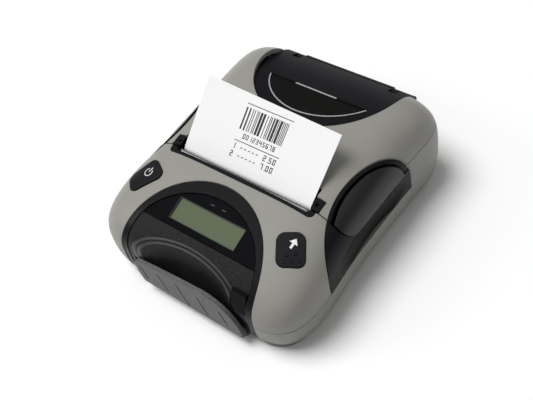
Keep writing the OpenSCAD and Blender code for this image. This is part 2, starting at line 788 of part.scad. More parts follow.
// How far an idler tooth stands past the line to the pinion, as an angle of the idler
idler_past = (180 - idler_turn) % (360/idler_teeth);
pinion_turn = 180/pinion_teeth + idler_past*idler_teeth/pinion_teeth;

module idler_gear() color("ivory") gear(idler_teeth, 1.55, idler_y, idler_z, idler_turn);

module motor_pinion() color("goldenrod") {
    gear(pinion_teeth, 0.99, pinion_y, pinion_z, pinion_turn);
    rod_x(1, gear_x - gear_w - 0.4, -plate_x + 5.8, pinion_y, pinion_z, 32);
}

module platen_shaft() color("silver") difference() {
    rod_x(shaft_r, gear_x - gear_w - 0.4, arm_x + arm_t + 0.9, platen_y, platen_z);
    rod_x(0.7, -far, gear_x - gear_w + 0.4, platen_y, platen_z, 24);
}

module platen_roller() color([0.08, 0.08, 0.08]) difference() {
    rod_x(platen_r, -paper_w/2 - 0.3, paper_w/2 + 0.3, platen_y, platen_z, 72);
    rod_x(shaft_r, -far, far, platen_y, platen_z);
}

module platen_gear() color("ivory") gear(platen_teeth, shaft_r + 0.02, platen_y, platen_z, -90);

module platen_bushes() color("goldenrod") mirrored() difference() {
    union() {
        rod_x(bush_r, plate_x - 0.2, arm_x - 0.05, platen_y, platen_z);
        rod_x(bush_r + 0.8, plate_x + plate_t + 0.25, arm_x - 0.05, platen_y, platen_z);
    }
    rod_x(shaft_r + run, 0, far, platen_y, platen_z);
}

// Paper cover and what rides on it

rim_t = 1.3;
pad_gap = 2;
nose_w = paper_w/2 + 0.7;
nose_y = -9.2;
rod_places = [[-3.5, 44], [12, 45]];
rod_r = 1.5;

module paper_cover() color(grey) difference() {
    intersection() {
        body_form(0, -25, 205);
        block([-far, seam_y + seam/2, cover_z], [far, far, far]);
    }
    core_form(wall, -30, 210);
    linear_extrude(far) both_sides();
    linear_extrude(far) insert_plan();
    block([-nose_w - 0.3, -far, 0], [nose_w + 0.3, nose_y, far]);
    mirrored() block([nose_w, -far, 0], [tab_x + tab_w + 0.3, seam_y + 7, far]);
}

module cover_tabs() color(black) mirrored() difference() {
    intersection() {
        skin_block(tab_x + tab_w/2, seam_y + 3.6, 5, 0.4);
        block([tab_x, seam_y + 0.4, skin_z(arm_x, seam_y + 7, wall) + 0.1],
            [tab_x + tab_w, seam_y + 6.8, far]);
    }
    translate([tab_x + 1.9, seam_y + 3.4, skin_z(tab_x, seam_y) - 1.6]) cylinder(r = 1.2, h = 9, $fn = 24);
}

module cover_frame() color([0.13, 0.13, 0.14]) difference() {
    union() {
        mirrored() {
            intersection() {
                body_form(1.3, -50, 55);
                translate([0, 0, cover_z + seam]) linear_extrude(far) difference() {
                    side_plan(seam);
                    side_plan(seam + rim_t);
                }
                block([0, seam_y + seam, 0], [far, far, far]);
            }
            intersection() {
                core_form(4.6, -40, 60);
                difference() {
                    block([arm_x, seam_y + 2.5, cover_z + 0.4], [far, 40, cover_z + 1.6]);
                    block([arm_x + arm_t, platen_y - 8, 0], [-gear_x + gear_w + 1.2, platen_y + 8, far]);
                }
            }
            intersection() {
                core_form(wall + fit, -40, 75);
                block([arm_x, seam_y + 4, cover_z + 0.4], [arm_x + arm_t, 60, far]);
            }
            rod_x(4, arm_x, arm_x + arm_t, platen_y, platen_z);
        }
        intersection() {
            along_x(-nose_w, nose_w) polygon([
                [nip_y - 0.3, platen_z + platen_r + 0.8], [nip_y - 0.5, slot_z - 1.2],
                [nose_y - seam, slot_z + 4.7], [nose_y - seam, platen_z + platen_r + 0.8]]);
            core_form(0.4, -190, 10);
        }
        intersection() {
            core_form(wall + fit, -190, 10);
            block([-nose_w, nose_y - seam - 0.2, platen_z + platen_r + 0.8], [nose_w, nose_y + 2, far]);
        }
        block([-arm_x - 0.1, nip_y + 1, platen_z + platen_r + 0.8],
            [arm_x + 0.1, nose_y + 1, platen_z + platen_r + 2.4]);
    }
    rod_x(shaft_r + run, -far, far, platen_y, platen_z);
    mirrored() rod_x(gear_m*platen_teeth/2 + 1, -gear_x - 0.3, -gear_x + gear_w + 0.6, platen_y, platen_z);
    for (p = rod_places) rod_x(rod_r + 0.15, -far, far, p[0], p[1], 32);
}

module release_pad() {
    difference() {
        intersection() {
            body_form(-0.9, -55, 55);
            translate([0, 0, cover_z + 0.5]) linear_extrude(far) side_plan(seam + rim_t + pad_gap);
            block([0, seam_y + pad_gap, 0], [far, far, far]);
        }
        core_form(1.6, -60, 60);
    }
    for (p = rod_places) intersection() {
        rod_x(rod_r, arm_x - 1.7, half_w, p[0], p[1], 32);
        core_form(1.2, -60, 60);
    }
}

module release_button_right() color(black) release_pad();

module release_button_left() color(black) mirror([1, 0, 0]) release_pad();

// The black insert follows one profile from front to rear

insert_top = 55.8;
insert_slope = 0.0666;
insert_bow = 0.00343;
insert_t = 2;

function insert_z(y) = let(d = y - insert_y + insert_l) insert_top - insert_slope*d - insert_bow*d*d;

module insert_slab(up, down, rear = hinge_y) {
    steps = [for (i = [0:16]) insert_y - insert_l + (rear - insert_y + insert_l)*i/16];
    along_x(-insert_w, insert_w) polygon(concat(
        [for (y = steps) [y, insert_z(y) + up]],
        [for (i = [16:-1:0]) [steps[i], insert_z(steps[i]) - down]]));
}

module cover_insert() color(black) difference() {
    union() {
        intersection() {
            insert_slab(0, insert_t);
            linear_extrude(far) insert_plan(seam);
        }
        difference() {
            intersection() {
                body_form(1.1, 20, 160);
                linear_extrude(far) difference() {
                    insert_plan(seam);
                    insert_plan(seam + 1.2);
                }
                block([-far, 0, cover_z], [far, hinge_y - 2, far]);
            }
            insert_slab(-insert_t + 0.2, far);
        }
        rod_x(barrel_r, -barrel_w, barrel_w, hinge_y, hinge_z, 64);
        mirrored() rod_x(lug_r + 0.2, lug_x + lug_w + fit, insert_w - fit, hinge_y, hinge_z);
    }
    mirrored() block([lug_x - fit, hinge_y - lug_r - 0.5, 0], [lug_x + lug_w + fit, far, far]);
    rod_x(pin_r + run, -far, far, hinge_y, hinge_z, 32);
    linear_extrude(far) moon_plan();
    intersection() {
        insert_slab(5, 0.5);
        linear_extrude(far) moon_plan(1.15);
    }
}

module hinge_pin() color("silver") rod_x(pin_r, -insert_w + 2, insert_w - 2, hinge_y, hinge_z, 32);

module paper_window() color([0.05, 0.05, 0.05, 0.8]) intersection() {
    insert_slab(-0.6, insert_t);
    linear_extrude(far) moon_plan(-0.25);
}

module window_rim() color([0.75, 0.75, 0.75]) {
    difference() {
        intersection() {
            insert_slab(0.3, 0.45);
            linear_extrude(far) moon_plan(1);
        }
        linear_extrude(far) moon_plan(-0.35);
    }
    intersection() {
        insert_slab(0.3, 0.5);
        block([-12.8, moon_y - 0.9, 0], [12.8, moon_y + 0.9, far]);
    }
}

// Roll bay, roll and paper path

web_low = 13.5;

module roll_bay() color(black) difference() {
    union() {
        intersection() {
            core_form(wall + fit);
            union() {
                block([-deck_w, -3, deck_z - deck_t], [deck_w, 50, deck_z]);
                block([-far, 48, deck_z - deck_t], [far, hinge_y - barrel_r - 1, deck_z]);
            }
        }
        rod_x(bay_r + bay_wall, -bay_w - bay_wall, bay_w + bay_wall, bay_y, bay_z, 120);
        mirrored() translate([screw_places[1].x, screw_places[1].y, part_z + 0.1])
            cylinder(r = 3.4, h = deck_z - deck_t - part_z, $fn = 40);
    }
    rod_x(bay_r, -bay_w, bay_w, bay_y, bay_z, 120);
    block([-far, -far, deck_z], [far, far, far]);
    block([-bay_w, -far, web_low], [bay_w, bay_y - 12, far]);
    mirrored() translate([screw_places[1].x, screw_places[1].y, 0])
        cylinder(r = 1.25, h = part_z + 7, $fn = 24);
}

module paper_roll() color("white") difference() {
    rod_x(roll_r, -paper_w/2, paper_w/2, bay_y, roll_z, 120);
    rod_x(core_d/2, -far, far, bay_y, roll_z, 64);
}

module roll_core() color("tan") difference() {
    rod_x(core_d/2, -paper_w/2, paper_w/2, bay_y, roll_z, 64);
    rod_x(core_d/2 - 1.2, -far, far, bay_y, roll_z, 64);
}

// The paper leaves the roll from below and rises to the platen
nip = [nip_y - paper_t/2, platen_z - 2.2];
web_r = roll_r + fit + paper_t/2;
web_reach = norm(nip - [bay_y, roll_z]);
web_a = atan2(nip.y - roll_z, nip.x - bay_y) + acos(web_r/web_reach);
web_start = [bay_y, roll_z] + web_r*[cos(web_a), sin(web_a)];

// A thin band along a line of points
function turned(v) = [-v.y, v.x]/norm(v);
function band(points, t) = let(
    n = len(points),
    side = [for (i = [0:n - 1]) turned(points[min(i + 1, n - 1)] - points[max(i - 1, 0)])])
    concat([for (i = [0:n - 1]) points[i] + side[i]*t/2], [for (i = [n - 1:-1:0]) points[i] - side[i]*t/2]);

module paper_web() color("white") along_x(-paper_w/2, paper_w/2)
    polygon(band([web_start, nip - [-0.4, 0.4], nip + [0, 0.3], [nip.x, platen_z - 0.1]], paper_t));

// The printed strip rises from the nip, bends over the slot and leans back. Its left side stands a little
// steeper and longer than its right side.
strip_twist = 2.9;
strip_skew = 1.4;
bend_r = 3;
function strip_line(lean, length) = let(
    turn = 90 - lean + 12,
    c = [slot_y + bend_r, slot_z - 1.4])
    concat([[nip.x, platen_z + 0.1], [nip.x, platen_z + 1.5]],
        [for (i = [0:5]) c + bend_r*[cos(180 + 12 - turn*i/5), sin(180 + 12 - turn*i/5)]],
        [for (i = [1:4]) c + bend_r*[cos(90 + lean), sin(90 + lean)]
            + (length - 1.5)*i/4*[cos(lean), sin(lean)]]);

module receipt() color("white") {
    left = band(strip_line(strip_lean + strip_twist, strip_l + strip_skew), paper_t);
    right = band(strip_line(strip_lean - strip_twist, strip_l - strip_skew), paper_t);
    n = len(left);
    half = n/2;
    points = concat([for (p = left) [-paper_w/2, p.x, p.y]], [for (p = right) [paper_w/2, p.x, p.y]]);
    walls = [for (i = [0:n - 1]) let(j = (i + 1) % n) each [[i, j, n + j], [i, n + j, n + i]]];
    edges = [for (i = [0:half - 2]) let(a = n - 1 - i) each [
        [i, a, a - 1], [i, a - 1, i + 1], [n + i, n + a - 1, n + a], [n + i, n + i + 1, n + a - 1]]];
    polyhedron(points, concat(walls, edges));
}

module paper_sensor() color([0.1, 0.1, 0.1]) {
    block([8, frame_rear - 3.6, frame_z + 1.5], [16, frame_rear - 2.2, frame_z + 9]);
    block([8.6, frame_rear - 2.4, frame_z + 5], [15.4, frame_rear + 0.2, frame_z + 10]);
}

// Electronics and power

module main_board() color("seagreen") {
    difference() {
        block([-45, -61.6, frame_z], [45, frame_front - 1, frame_z + board_t]);
        mirrored() for (p = board_posts) translate([p.x, p.y, 0]) cylinder(r = 1.2, h = 20, $fn = 24);
    }
    block([-12, -52, frame_z + 1.5], [0, -40, frame_z + 3]);
    block([8, -50, frame_z + 1.5], [16, -42, frame_z + 2.8]);
    block([-34, -44, frame_z + 1.5], [-26, -34, frame_z + 5.5]);
    block([16, -59, frame_z + 1.5], [36, -54, frame_z + 4.5]);
    for (i = [0:2]) translate([24 + 6*i, -40, frame_z + 1.5]) cylinder(r = 2.4, h = 6, $fn = 24);
}

module battery_pack() color([0.14, 0.14, 0.15]) difference() {
    union() {
        block([-battery_w/2, battery_front + 0.3, battery_z],
            [battery_w/2, door_y + 0.1, battery_z + battery_h]);
        intersection() {
            body_form(0.2, 50, 130);
            block([-battery_w/2 - 1.2, door_y, floor_top + 0.4],
                [battery_w/2 + 1.2, far, battery_z + battery_h + 0.3]);
        }
    }
    block([-latch_w - 0.3, body_y + half_d - 2.2, battery_z + 19],
        [latch_w + 0.3, far, battery_z + battery_h - 1]);
    for (x = [-30, -24, -18]) block([x - 1.6, 0, battery_z + 6.5],
        [x + 1.6, battery_front + 0.8, battery_z + 13.5]);
}

latch_w = 8;

module battery_latch() color([0.2, 0.2, 0.2]) difference() {
    block([-latch_w, body_y + half_d - 1.9, battery_z + 21],
        [latch_w, body_y + half_d + 0.3, battery_z + battery_h - 1.3]);
    for (i = [0:1]) block([-latch_w + 1.5, body_y + half_d - 0.1, battery_z + 22.2 + 1.6*i],
        [latch_w - 1.5, far, battery_z + 23 + 1.6*i]);
}

module battery_contacts() color("gold") for (x = [-30, -24, -18])
    block([x - 1, battery_front - 0.3, battery_z + 7], [x + 1, battery_front + 0.5, battery_z + 13]);

bottom_case();
front_case();
side_panel_left();
side_panel_right();
lcd_bezel();
lcd_window();
lcd_glass();
lcd_module();
front_panel();
card_lip();
ir_window();
slot_trim();
tear_bar();
power_button();
feed_button();
key_switches();
magnetic_head();
head_spring();
main_board();
print_frame();
print_head();
head_bracket();
stepper_motor();
motor_pinion();
idler_gear();
platen_shaft();
platen_roller();
platen_gear();
platen_bushes();
paper_cover();
cover_frame();
cover_insert();
paper_window();
window_rim();
cover_tabs();
release_button_left();
release_button_right();
hinge_pin();
roll_bay();
paper_roll();
roll_core();
paper_web();
receipt();
paper_sensor();
battery_pack();
battery_latch();
battery_contacts();
charge_jack();
data_socket();
case_screws();
board_screws();
rubber_feet();
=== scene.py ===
"""Portable receipt printer: smooth skins, finishes, stage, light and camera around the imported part.
"""
import math
import random
import bpy
import numpy as np
from mathutils import Matrix, Vector


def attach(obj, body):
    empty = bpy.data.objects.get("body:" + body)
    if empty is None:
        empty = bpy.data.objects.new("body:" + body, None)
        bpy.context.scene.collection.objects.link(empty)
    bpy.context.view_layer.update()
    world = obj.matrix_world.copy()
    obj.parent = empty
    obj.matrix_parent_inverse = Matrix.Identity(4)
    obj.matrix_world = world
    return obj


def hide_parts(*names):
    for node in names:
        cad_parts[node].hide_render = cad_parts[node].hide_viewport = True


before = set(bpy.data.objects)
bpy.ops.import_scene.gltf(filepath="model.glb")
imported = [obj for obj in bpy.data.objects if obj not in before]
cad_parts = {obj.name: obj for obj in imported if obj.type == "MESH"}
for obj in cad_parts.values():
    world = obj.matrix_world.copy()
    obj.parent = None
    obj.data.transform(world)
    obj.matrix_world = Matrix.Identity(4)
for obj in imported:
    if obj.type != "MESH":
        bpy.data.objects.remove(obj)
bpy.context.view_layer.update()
scene = bpy.context.scene
MM = 0.001
FAR = 200.0  # beyond every face of the part

# ---------------------------------------------------------------- sizes, in millimetres
# The housing, its seams and its floor
HALF_W, HALF_D, PART_Z, TOP_H, WALL = 63.7, 74.7, 18.5, 35.9, 2.2
COVER_Z, SEAM, BODY_Y = 36.5, 0.3, 1.0
CORNER_N, DROP_P, DROP_Q = 7.0, 4.2, 3.5
FLOOR_Z = 1.5
FLOOR_TOP = FLOOR_Z + WALL
FRONT_Y = BODY_Y - HALF_D
SEAM_Y, SEAM_HALF = -20.5, 0.36
# The arched front and the side panels, seen from above
ARCH_W, ARCH_L, ARCH_Y = 42.0, 45.5, FRONT_Y - 1.3
LENS_W, LENS_L, LENS_Y = 38.0, 34.0, ARCH_Y + 4.5
CAVITY_Y = LENS_Y + 7
SIDE_X, SIDE_Y, SIDE_FRONT_R, SIDE_REAR_R = 47.7, -4.0, 50.0, 68.0
RIM_T, PAD_GAP, GRIP_Y, GRIP_Z = 1.3, 2.0, -8.5, 44.8
GRIP_LOW = GRIP_Z - 14
ROD_PLACES = [(-3.5, 44.0), (12.0, 45.0)]
# The black insert, its window and the keys
INSERT_Y, INSERT_W, INSERT_L = 66.0, 41.5, 48.0
INSERT_ARCH_Y, INSERT_ARCH_L, INSERT_SHIFT = 60.0, 44.0, 1.2
MOON_X, MOON_Y, MOON_R, MOON_MID = 1.0, 44.0, 32.8, 57.4
KEY_X, KEY_Y, KEY_TURN, KEY_RISE = 45.0, -42.0, 32.0, 0.7
DOT_PLACES = [(-1.8, -3.0), (2.3, -2.4), (-2.9, -6.2), (0.6, -5.7), (3.9, -5.4)]
MARK_RISE = 0.03
# The hinge
HINGE_Y, HINGE_Z, BARREL_R, BARREL_W = 72.0, 38.0, 4.0, 28.0
LUG_X, LUG_W, LUG_R = 28.6, 4.6, 3.3
LUG_HOLE_R, BARREL_HOLE_R = 1.27, 1.3
# The paper's way out
PAPER_W, PAPER_T = 79.5, 0.2
PLATEN_Y, PLATEN_Z, PLATEN_R, SHAFT_R = -11.5, 38.5, 5.0, 2.0
SLOT_Y, SLOT_Z, TRIM_Y, TRIM_W, TRIM_HOLE_W, ROOF_R = -18.6, 46.3, -24.7, 44.4, 89.6, 484
TAB_X, TAB_W = PAPER_W / 2 + 1.15, 4.8
ARM_X, ARM_T = 44.0, 1.8
NOSE_W, NOSE_Y, NOSE_Z = PAPER_W / 2 + 0.7, -9.2, 44.3
# The card slot's lip, the display and the textured front
LIP_Y, LIP_T, LIP_LEFT, LIP_RIGHT = -76.0, 2.2, 31.8, 35.4
LIP_TOP, LIP_LOW, LIP_PEAK, LIP_FOOT = 29.0, 6.5, 14.0, 7.0
SLOT_BACK = LIP_Y + LIP_T + 2.2
LENS_EDGE, LENS_SUNK, PANEL_LOW, CARD_Z = -57.8, 0.9, 4.3, 14.5
DISPLAY_Y, DISPLAY_TILT, DISPLAY_W, DISPLAY_D = -49.2, 18.3, 40.6, 11.5
SCOOP_R, SCOOP_Z, SCOOP_LEAN, SCOOP_BACK = 97.2, 36.7, 19.1, -64.4
IR_X, IR_LOW, IR_HIGH, IR_DEEP = (28.8, 37.4), (-72.9, 24.3), (-68.9, 34.6), 3.6
# Feet, screws, posts and sockets
FOOT_R, FOOT_H, FOOT_RISE, FRAME_Z = 14.7, 2.0, 5.0, 12.0
FOOT_PLACES = [(43, -55), (43, 57)]
SCREW_PLACES = [(50, -58), (52, 57)]
POST_PLACES = [(40, -58.5), (40, -37), (37, -27), (37, -10)]
BOSS_R, SCREW_R, SCREW_HEAD_R, POST_R, POST_HOLE_R = 3.4, 1.35, 2.7, 2.6, 1.02
SOCKET_Z, JACK_Y, DATA_Y = 27.0, 22.0, 8.0
# The battery and its bay
BATTERY_W, BATTERY_FRONT, BATTERY_Z, BATTERY_H = 74.0, 49.3, 4.1, 27.0
BATTERY_TOP = BATTERY_Z + BATTERY_H
DOOR_Y, LATCH_W, BAY_TOP = 73.3, 8.0, 33.2
CONTACT_PLACES = (-30, -24, -18)


def waist(y):
    """The share of the half width that is left at y."""
    return 1 - 0.045 * np.exp(-(np.abs(y - 8) / 45) ** 4)


def crown(y):
    """The share of the top's rise that is reached at y."""
    u = y / 70
    return 1 + 0.22 * u - 0.165 * u * u - 0.019 * u ** 3


def skin_z(x, y, inset=0.0):
    """The height of the skin over a place, drawn in by inset."""
    u = abs(x) / ((HALF_W - inset) * waist(y))
    v = abs(y - BODY_Y) / (HALF_D - inset)
    f = np.minimum(0.9999, (u ** CORNER_N + v ** CORNER_N) ** (1 / CORNER_N))
    return PART_Z + (TOP_H * crown(y) - inset) * (1 - f ** DROP_P) ** (1 / DROP_Q)


def new_mesh(name, points, faces):
    mesh = bpy.data.meshes.new(name)
    mesh.from_pydata([tuple(map(float, p)) for p in points], [], faces)
    mesh.update()
    obj = bpy.data.objects.new(name, mesh)
    scene.collection.objects.link(obj)
    return obj


def housing(inset=0.0, step=1.5, fine=True):
    """The whole housing as a closed solid, drawn in by inset."""
    a = np.radians(np.arange(0, 360, step))
    reach = (np.abs(np.cos(a)) ** CORNER_N + np.abs(np.sin(a)) ** CORNER_N) ** (-1 / CORNER_N)
    rise = 3.0 if fine else 7.5
    rows = []
    # The underside: the share of the outline at each height over the floor
    low = [(0.905, 0.0), (0.925, 0.12), (0.938, 0.5), (0.951, 1.3), (0.963, 2.4), (0.976, 4.0),
           (0.987, 6.2), (0.995, 9.5), (0.999, 13.5)]
    for f, dz in low:
        rows.append((f, FLOOR_Z + inset * (1 - dz / 17) + dz, None))
    # The sides and the top: even steps of angle first, then of the outline's share
    t = 0.0
    while t <= 72:
        f = math.cos(math.radians(t)) ** (2 / DROP_P)
        rows.append((f, None, math.sin(math.radians(t)) ** (2 / DROP_Q)))
        t += rise
    f -= 0.05
    while f > 0.03:
        rows.append((f, None, (1 - f ** DROP_P) ** (1 / DROP_Q)))
        f -= 0.05 if fine else 0.1
    points = []
    for f, z, h in rows:
        y = BODY_Y + (HALF_D - inset) * f * reach * np.sin(a)
        x = (HALF_W - inset) * waist(y) * f * reach * np.cos(a)
        zz = np.full_like(x, z) if h is None else PART_Z + (TOP_H * crown(y) - inset) * h
        points += list(zip(x, y, zz))
    n, m = len(a), len(rows)
    points += [(0, BODY_Y, FLOOR_Z + inset), (0, BODY_Y, PART_Z + TOP_H * crown(BODY_Y) - inset)]
    faces = [(k * n + i, k * n + (i + 1) % n, (k + 1) * n + (i + 1) % n, (k + 1) * n + i)
             for k in range(m - 1) for i in range(n)]
    faces += [(m * n, (i + 1) % n, i) for i in range(n)]
    faces += [(m * n + 1, (m - 1) * n + i, (m - 1) * n + (i + 1) % n) for i in range(n)]
    return new_mesh("solid", points, faces)


def core(inset):
    """A coarser copy of the housing, to hollow a piece out or to keep it inside."""
    return housing(inset, 3, False)


def stacked(n):
    """The faces between an outline of n points and the same outline above it."""
    sides = [(i, (i + 1) % n, n + (i + 1) % n, n + i) for i in range(n)]
    return [tuple(range(n - 1, -1, -1)), tuple(range(n, 2 * n))] + sides


def prism(outline, z0, z1):
    """An outline in X and Y, run along Z."""
    n = len(outline)
    area = sum(outline[i][0] * outline[(i + 1) % n][1] - outline[(i + 1) % n][0] * outline[i][1]
               for i in range(n))
    if area < 0:
        outline = outline[::-1]
    points = [(x, y, z0) for x, y in outline] + [(x, y, z1) for x, y in outline]
    return new_mesh("solid", points, stacked(n))


def turn_to_x(obj):
    """Takes a prism drawn in (Y, Z) and run along its Z to one that runs along X."""
    obj.data.transform(Matrix(((0, 0, 1, 0), (1, 0, 0, 0), (0, 1, 0, 0), (0, 0, 0, 1))))
    return obj


def box(a, b):
    return prism([(a[0], a[1]), (b[0], a[1]), (b[0], b[1]), (a[0], b[1])], a[2], b[2])


def disc(r, x=0.0, y=0.0, n=20):
    return [(x + r * math.cos(2 * math.pi * i / n), y + r * math.sin(2 * math.pi * i / n)) for i in range(n)]


def rod_x(r, x0, x1, y, z, n=64):
    return turn_to_x(prism(disc(r, y, z, n), x0, x1))


def rod_z(r, x, y, z0, z1, n=48):
    return prism(disc(r, x, y, n), z0, z1)


def ring_solid(cx, cy, cz, big, small, n=180, m=48):
    """A torus about a vertical axis."""
    points, faces = [], []
    for i in range(n):
        a = 2 * math.pi * i / n
        for j in range(m):
            b = 2 * math.pi * j / m
            r = big + small * math.cos(b)
            points.append((cx + r * math.cos(a), cy + r * math.sin(a), cz + small * math.sin(b)))
    for i in range(n):
        for j in range(m):
            faces.append((i * m + j, ((i + 1) % n) * m + j,
                          ((i + 1) % n) * m + (j + 1) % m, i * m + (j + 1) % m))
    return new_mesh("solid", points, faces)


def combine(kind, base, *others):
    """A boolean of solids. The operands are used up."""
    for other in others:
        step = base.modifiers.new("cut", "BOOLEAN")
        step.operation, step.object, step.solver = kind, other, "MANIFOLD"
    done = bpy.data.meshes.new_from_object(base.evaluated_get(bpy.context.evaluated_depsgraph_get()))
    base.modifiers.clear()
    base.data = done
    for other in others:
        bpy.data.objects.remove(other)
    return base


def cut(base, *others):
    return combine("DIFFERENCE", base, *others)


def keep(base, *others):
    return combine("INTERSECT", base, *others)


def join(base, *others):
    return combine("UNION", base, *others)


def flipped(obj):
    """The solid itself, reflected in the middle plane."""
    obj.data.transform(Matrix.Scale(-1, 4, (1, 0, 0)))
    obj.data.flip_normals()
    return obj


def pair(obj):
    """A solid and its reflection in the middle plane."""
    other = obj.copy()
    other.data = obj.data.copy()
    scene.collection.objects.link(other)
    return obj, flipped(other)


def finish(obj, name, body, nodes, material, angle=28):
    """Names a solid, brings it to metres, smooths it and hands it to its body."""
    obj.name = obj.data.name = name
    obj.data.transform(Matrix.Scale(MM, 4))
    obj.data.polygons.foreach_set("use_smooth", [True] * len(obj.data.polygons))
    obj.data.set_sharp_from_angle(angle=math.radians(angle))
    obj.data.materials.clear()
    obj.data.materials.append(material)
    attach(obj, body)
    if nodes:
        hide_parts(*nodes)
    return obj


# ---------------------------------------------------------------- plan outlines
def sweep(a0, a1, step):
    """Angles from a0 to a1 in even steps, given in degrees, in radians."""
    n = max(1, round(abs(a1 - a0) / step))
    return [math.radians(a0 + (a1 - a0) * i / n) for i in range(n + 1)]


def arc(x, y, r, a0, a1, step=6):
    return [(x + r * math.cos(t), y + r * math.sin(t)) for t in sweep(a0, a1, step)]


def front_arch(half, length, y):
    arch = [(half * math.cos(t), y + length * math.sin(t)) for t in sweep(0, 180, 1.5)]
    return arch + [(-half, -FAR), (half, -FAR)]


def arch_plan(inset=0.0):
    return front_arch(ARCH_W - inset, ARCH_L - inset, ARCH_Y)


def lens_plan(inset=0.0):
    return front_arch(LENS_W - inset, LENS_L - inset, LENS_Y)


def side_plan(inset=0.0):
    rear = arc(SIDE_X + SIDE_REAR_R, SIDE_Y, SIDE_REAR_R - inset, 90, 179, 1)
    front = arc(SIDE_X + SIDE_FRONT_R, SIDE_Y, SIDE_FRONT_R - inset, 180, 270, 1)
    return rear + front + [(SIDE_X + SIDE_REAR_R, SIDE_Y - SIDE_FRONT_R + inset)]


def insert_plan(inset=0.0):
    a = INSERT_W - inset
    reach = INSERT_ARCH_L - inset
    arch = [(a * math.cos(t) - INSERT_SHIFT * math.sin(t), INSERT_ARCH_Y + reach * math.sin(t))
            for t in sweep(180, 360, 1.5)]
    return arch + [(a, FAR), (-a, FAR)]


def moon_plan(grow=0.0):
    r = MOON_R + grow
    a = math.degrees(math.asin((MOON_MID - MOON_Y - grow) / r))
    return arc(MOON_X, MOON_MID, r, 180 + a, 360 - a, 1.5)


def turned(points, cx, cy, turn):
    """An outline turned by some degrees and then moved."""
    c, s = math.cos(math.radians(turn)), math.sin(math.radians(turn))
    return [(cx + c * x - s * y, cy + s * x + c * y) for x, y in points]


def round_rect(w, d, r, cx=0.0, cy=0.0, turn=0.0):
    points = []
    for sx, sy, a0 in ((1, 1, 0), (-1, 1, 90), (-1, -1, 180), (1, -1, 270)):
        points += arc(sx * (w / 2 - r), sy * (d / 2 - r), r, a0, a0 + 90, 9)
    return turned(points, cx, cy, turn)


def feed_outline(grow=0.0):
    return round_rect(13.2 + 2 * grow, 15.8 + 2 * grow, 3.8 + grow, KEY_X, KEY_Y, KEY_TURN)


def power_outline(grow=0.0):
    points = arc(1.9, 4.1, 3.8 + grow, -8, 90) + arc(-4.3, 4.2, 3.6 + grow, 90, 178)
    points += arc(-2.6, -4.7, 5.2 + grow, 182, 245) + arc(0.3, -6.4, 3.8 + grow, 250, 352)
    return turned(points, -KEY_X, KEY_Y, -KEY_TURN)


def insert_z(y):
    """The height of the black insert's top, which leaves the housing's skin."""
    d = y - INSERT_Y + INSERT_L
    return 55.8 - 0.0666 * d - 0.00343 * d * d


def insert_slab(up, down, half=INSERT_W):
    """A slab that follows the insert's top, from down below it to up above it."""
    ys = np.linspace(INSERT_Y - INSERT_L - 3, HINGE_Y, 40)
    outline = [(y, insert_z(y) - down) for y in ys] + [(y, insert_z(y) + up) for y in ys[::-1]]
    return turn_to_x(prism(outline, -half, half))


# ---------------------------------------------------------------- finishes
def material(name, colour, rough, metal=0.0, grain=0.0, grain_size=2500.0, mottle=0.06, wear=0.04,
             round_edge=0.0004, coat=0.0, fleck=False, **sockets):
    """A procedural finish: mottled colour and roughness, a moulded or brushed grain and softened edges.

    With fleck the colour follows the grain itself. Sockets are further inputs of the shader.
    """
    mat = bpy.data.materials.new(name)
    mat.use_nodes = True
    tree = mat.node_tree
    nodes, links = tree.nodes, tree.links
    shader = nodes["Principled BSDF"]
    place = nodes.new("ShaderNodeTexCoord")
    cloud = nodes.new("ShaderNodeTexNoise")
    cloud.inputs["Scale"].default_value = 45.0
    cloud.inputs["Detail"].default_value = 4.0
    links.new(place.outputs["Object"], cloud.inputs["Vector"])
    tint = nodes.new("ShaderNodeMix")
    tint.data_type = "RGBA"
    tint.inputs[6].default_value = (*[c * (1 - mottle) for c in colour], 1)
    tint.inputs[7].default_value = (*[min(1, c * (1 + mottle)) for c in colour], 1)
    links.new(tint.outputs[2], shader.inputs["Base Color"])
    if not fleck:
        links.new(cloud.outputs["Fac"], tint.inputs[0])
    gloss = nodes.new("ShaderNodeMapRange")
    gloss.inputs["To Min"].default_value = max(0.02, rough - wear)
    gloss.inputs["To Max"].default_value = min(1.0, rough + wear)
    links.new(cloud.outputs["Fac"], gloss.inputs["Value"])
    links.new(gloss.outputs["Result"], shader.inputs["Roughness"])
    edge = nodes.new("ShaderNodeBevel")
    edge.samples = 4
    edge.inputs["Radius"].default_value = round_edge
    last = edge.outputs["Normal"]
    if grain > 0:
        speck = nodes.new("ShaderNodeTexNoise")
        speck.inputs["Scale"].default_value = grain_size
        speck.inputs["Detail"].default_value = 2.0
        links.new(place.outputs["Object"], speck.inputs["Vector"])
        if fleck:
            contrast = nodes.new("ShaderNodeMapRange")
            contrast.inputs["From Min"].default_value = 0.4
            contrast.inputs["From Max"].default_value = 0.65
            links.new(speck.outputs["Fac"], contrast.inputs["Value"])
            links.new(contrast.outputs["Result"], tint.inputs[0])
        bump = nodes.new("ShaderNodeBump")
        bump.inputs["Strength"].default_value = grain
        bump.inputs["Distance"].default_value = 0.0002
        links.new(speck.outputs["Fac"], bump.inputs["Height"])
        links.new(last, bump.inputs["Normal"])
        last = bump.outputs["Normal"]
    links.new(last, shader.inputs["Normal"])
    shader.inputs["Metallic"].default_value = metal
    shader.inputs["Coat Weight"].default_value = coat
    for key, value in sockets.items():
        shader.inputs[key.replace("_", " ")].default_value = value
    return mat


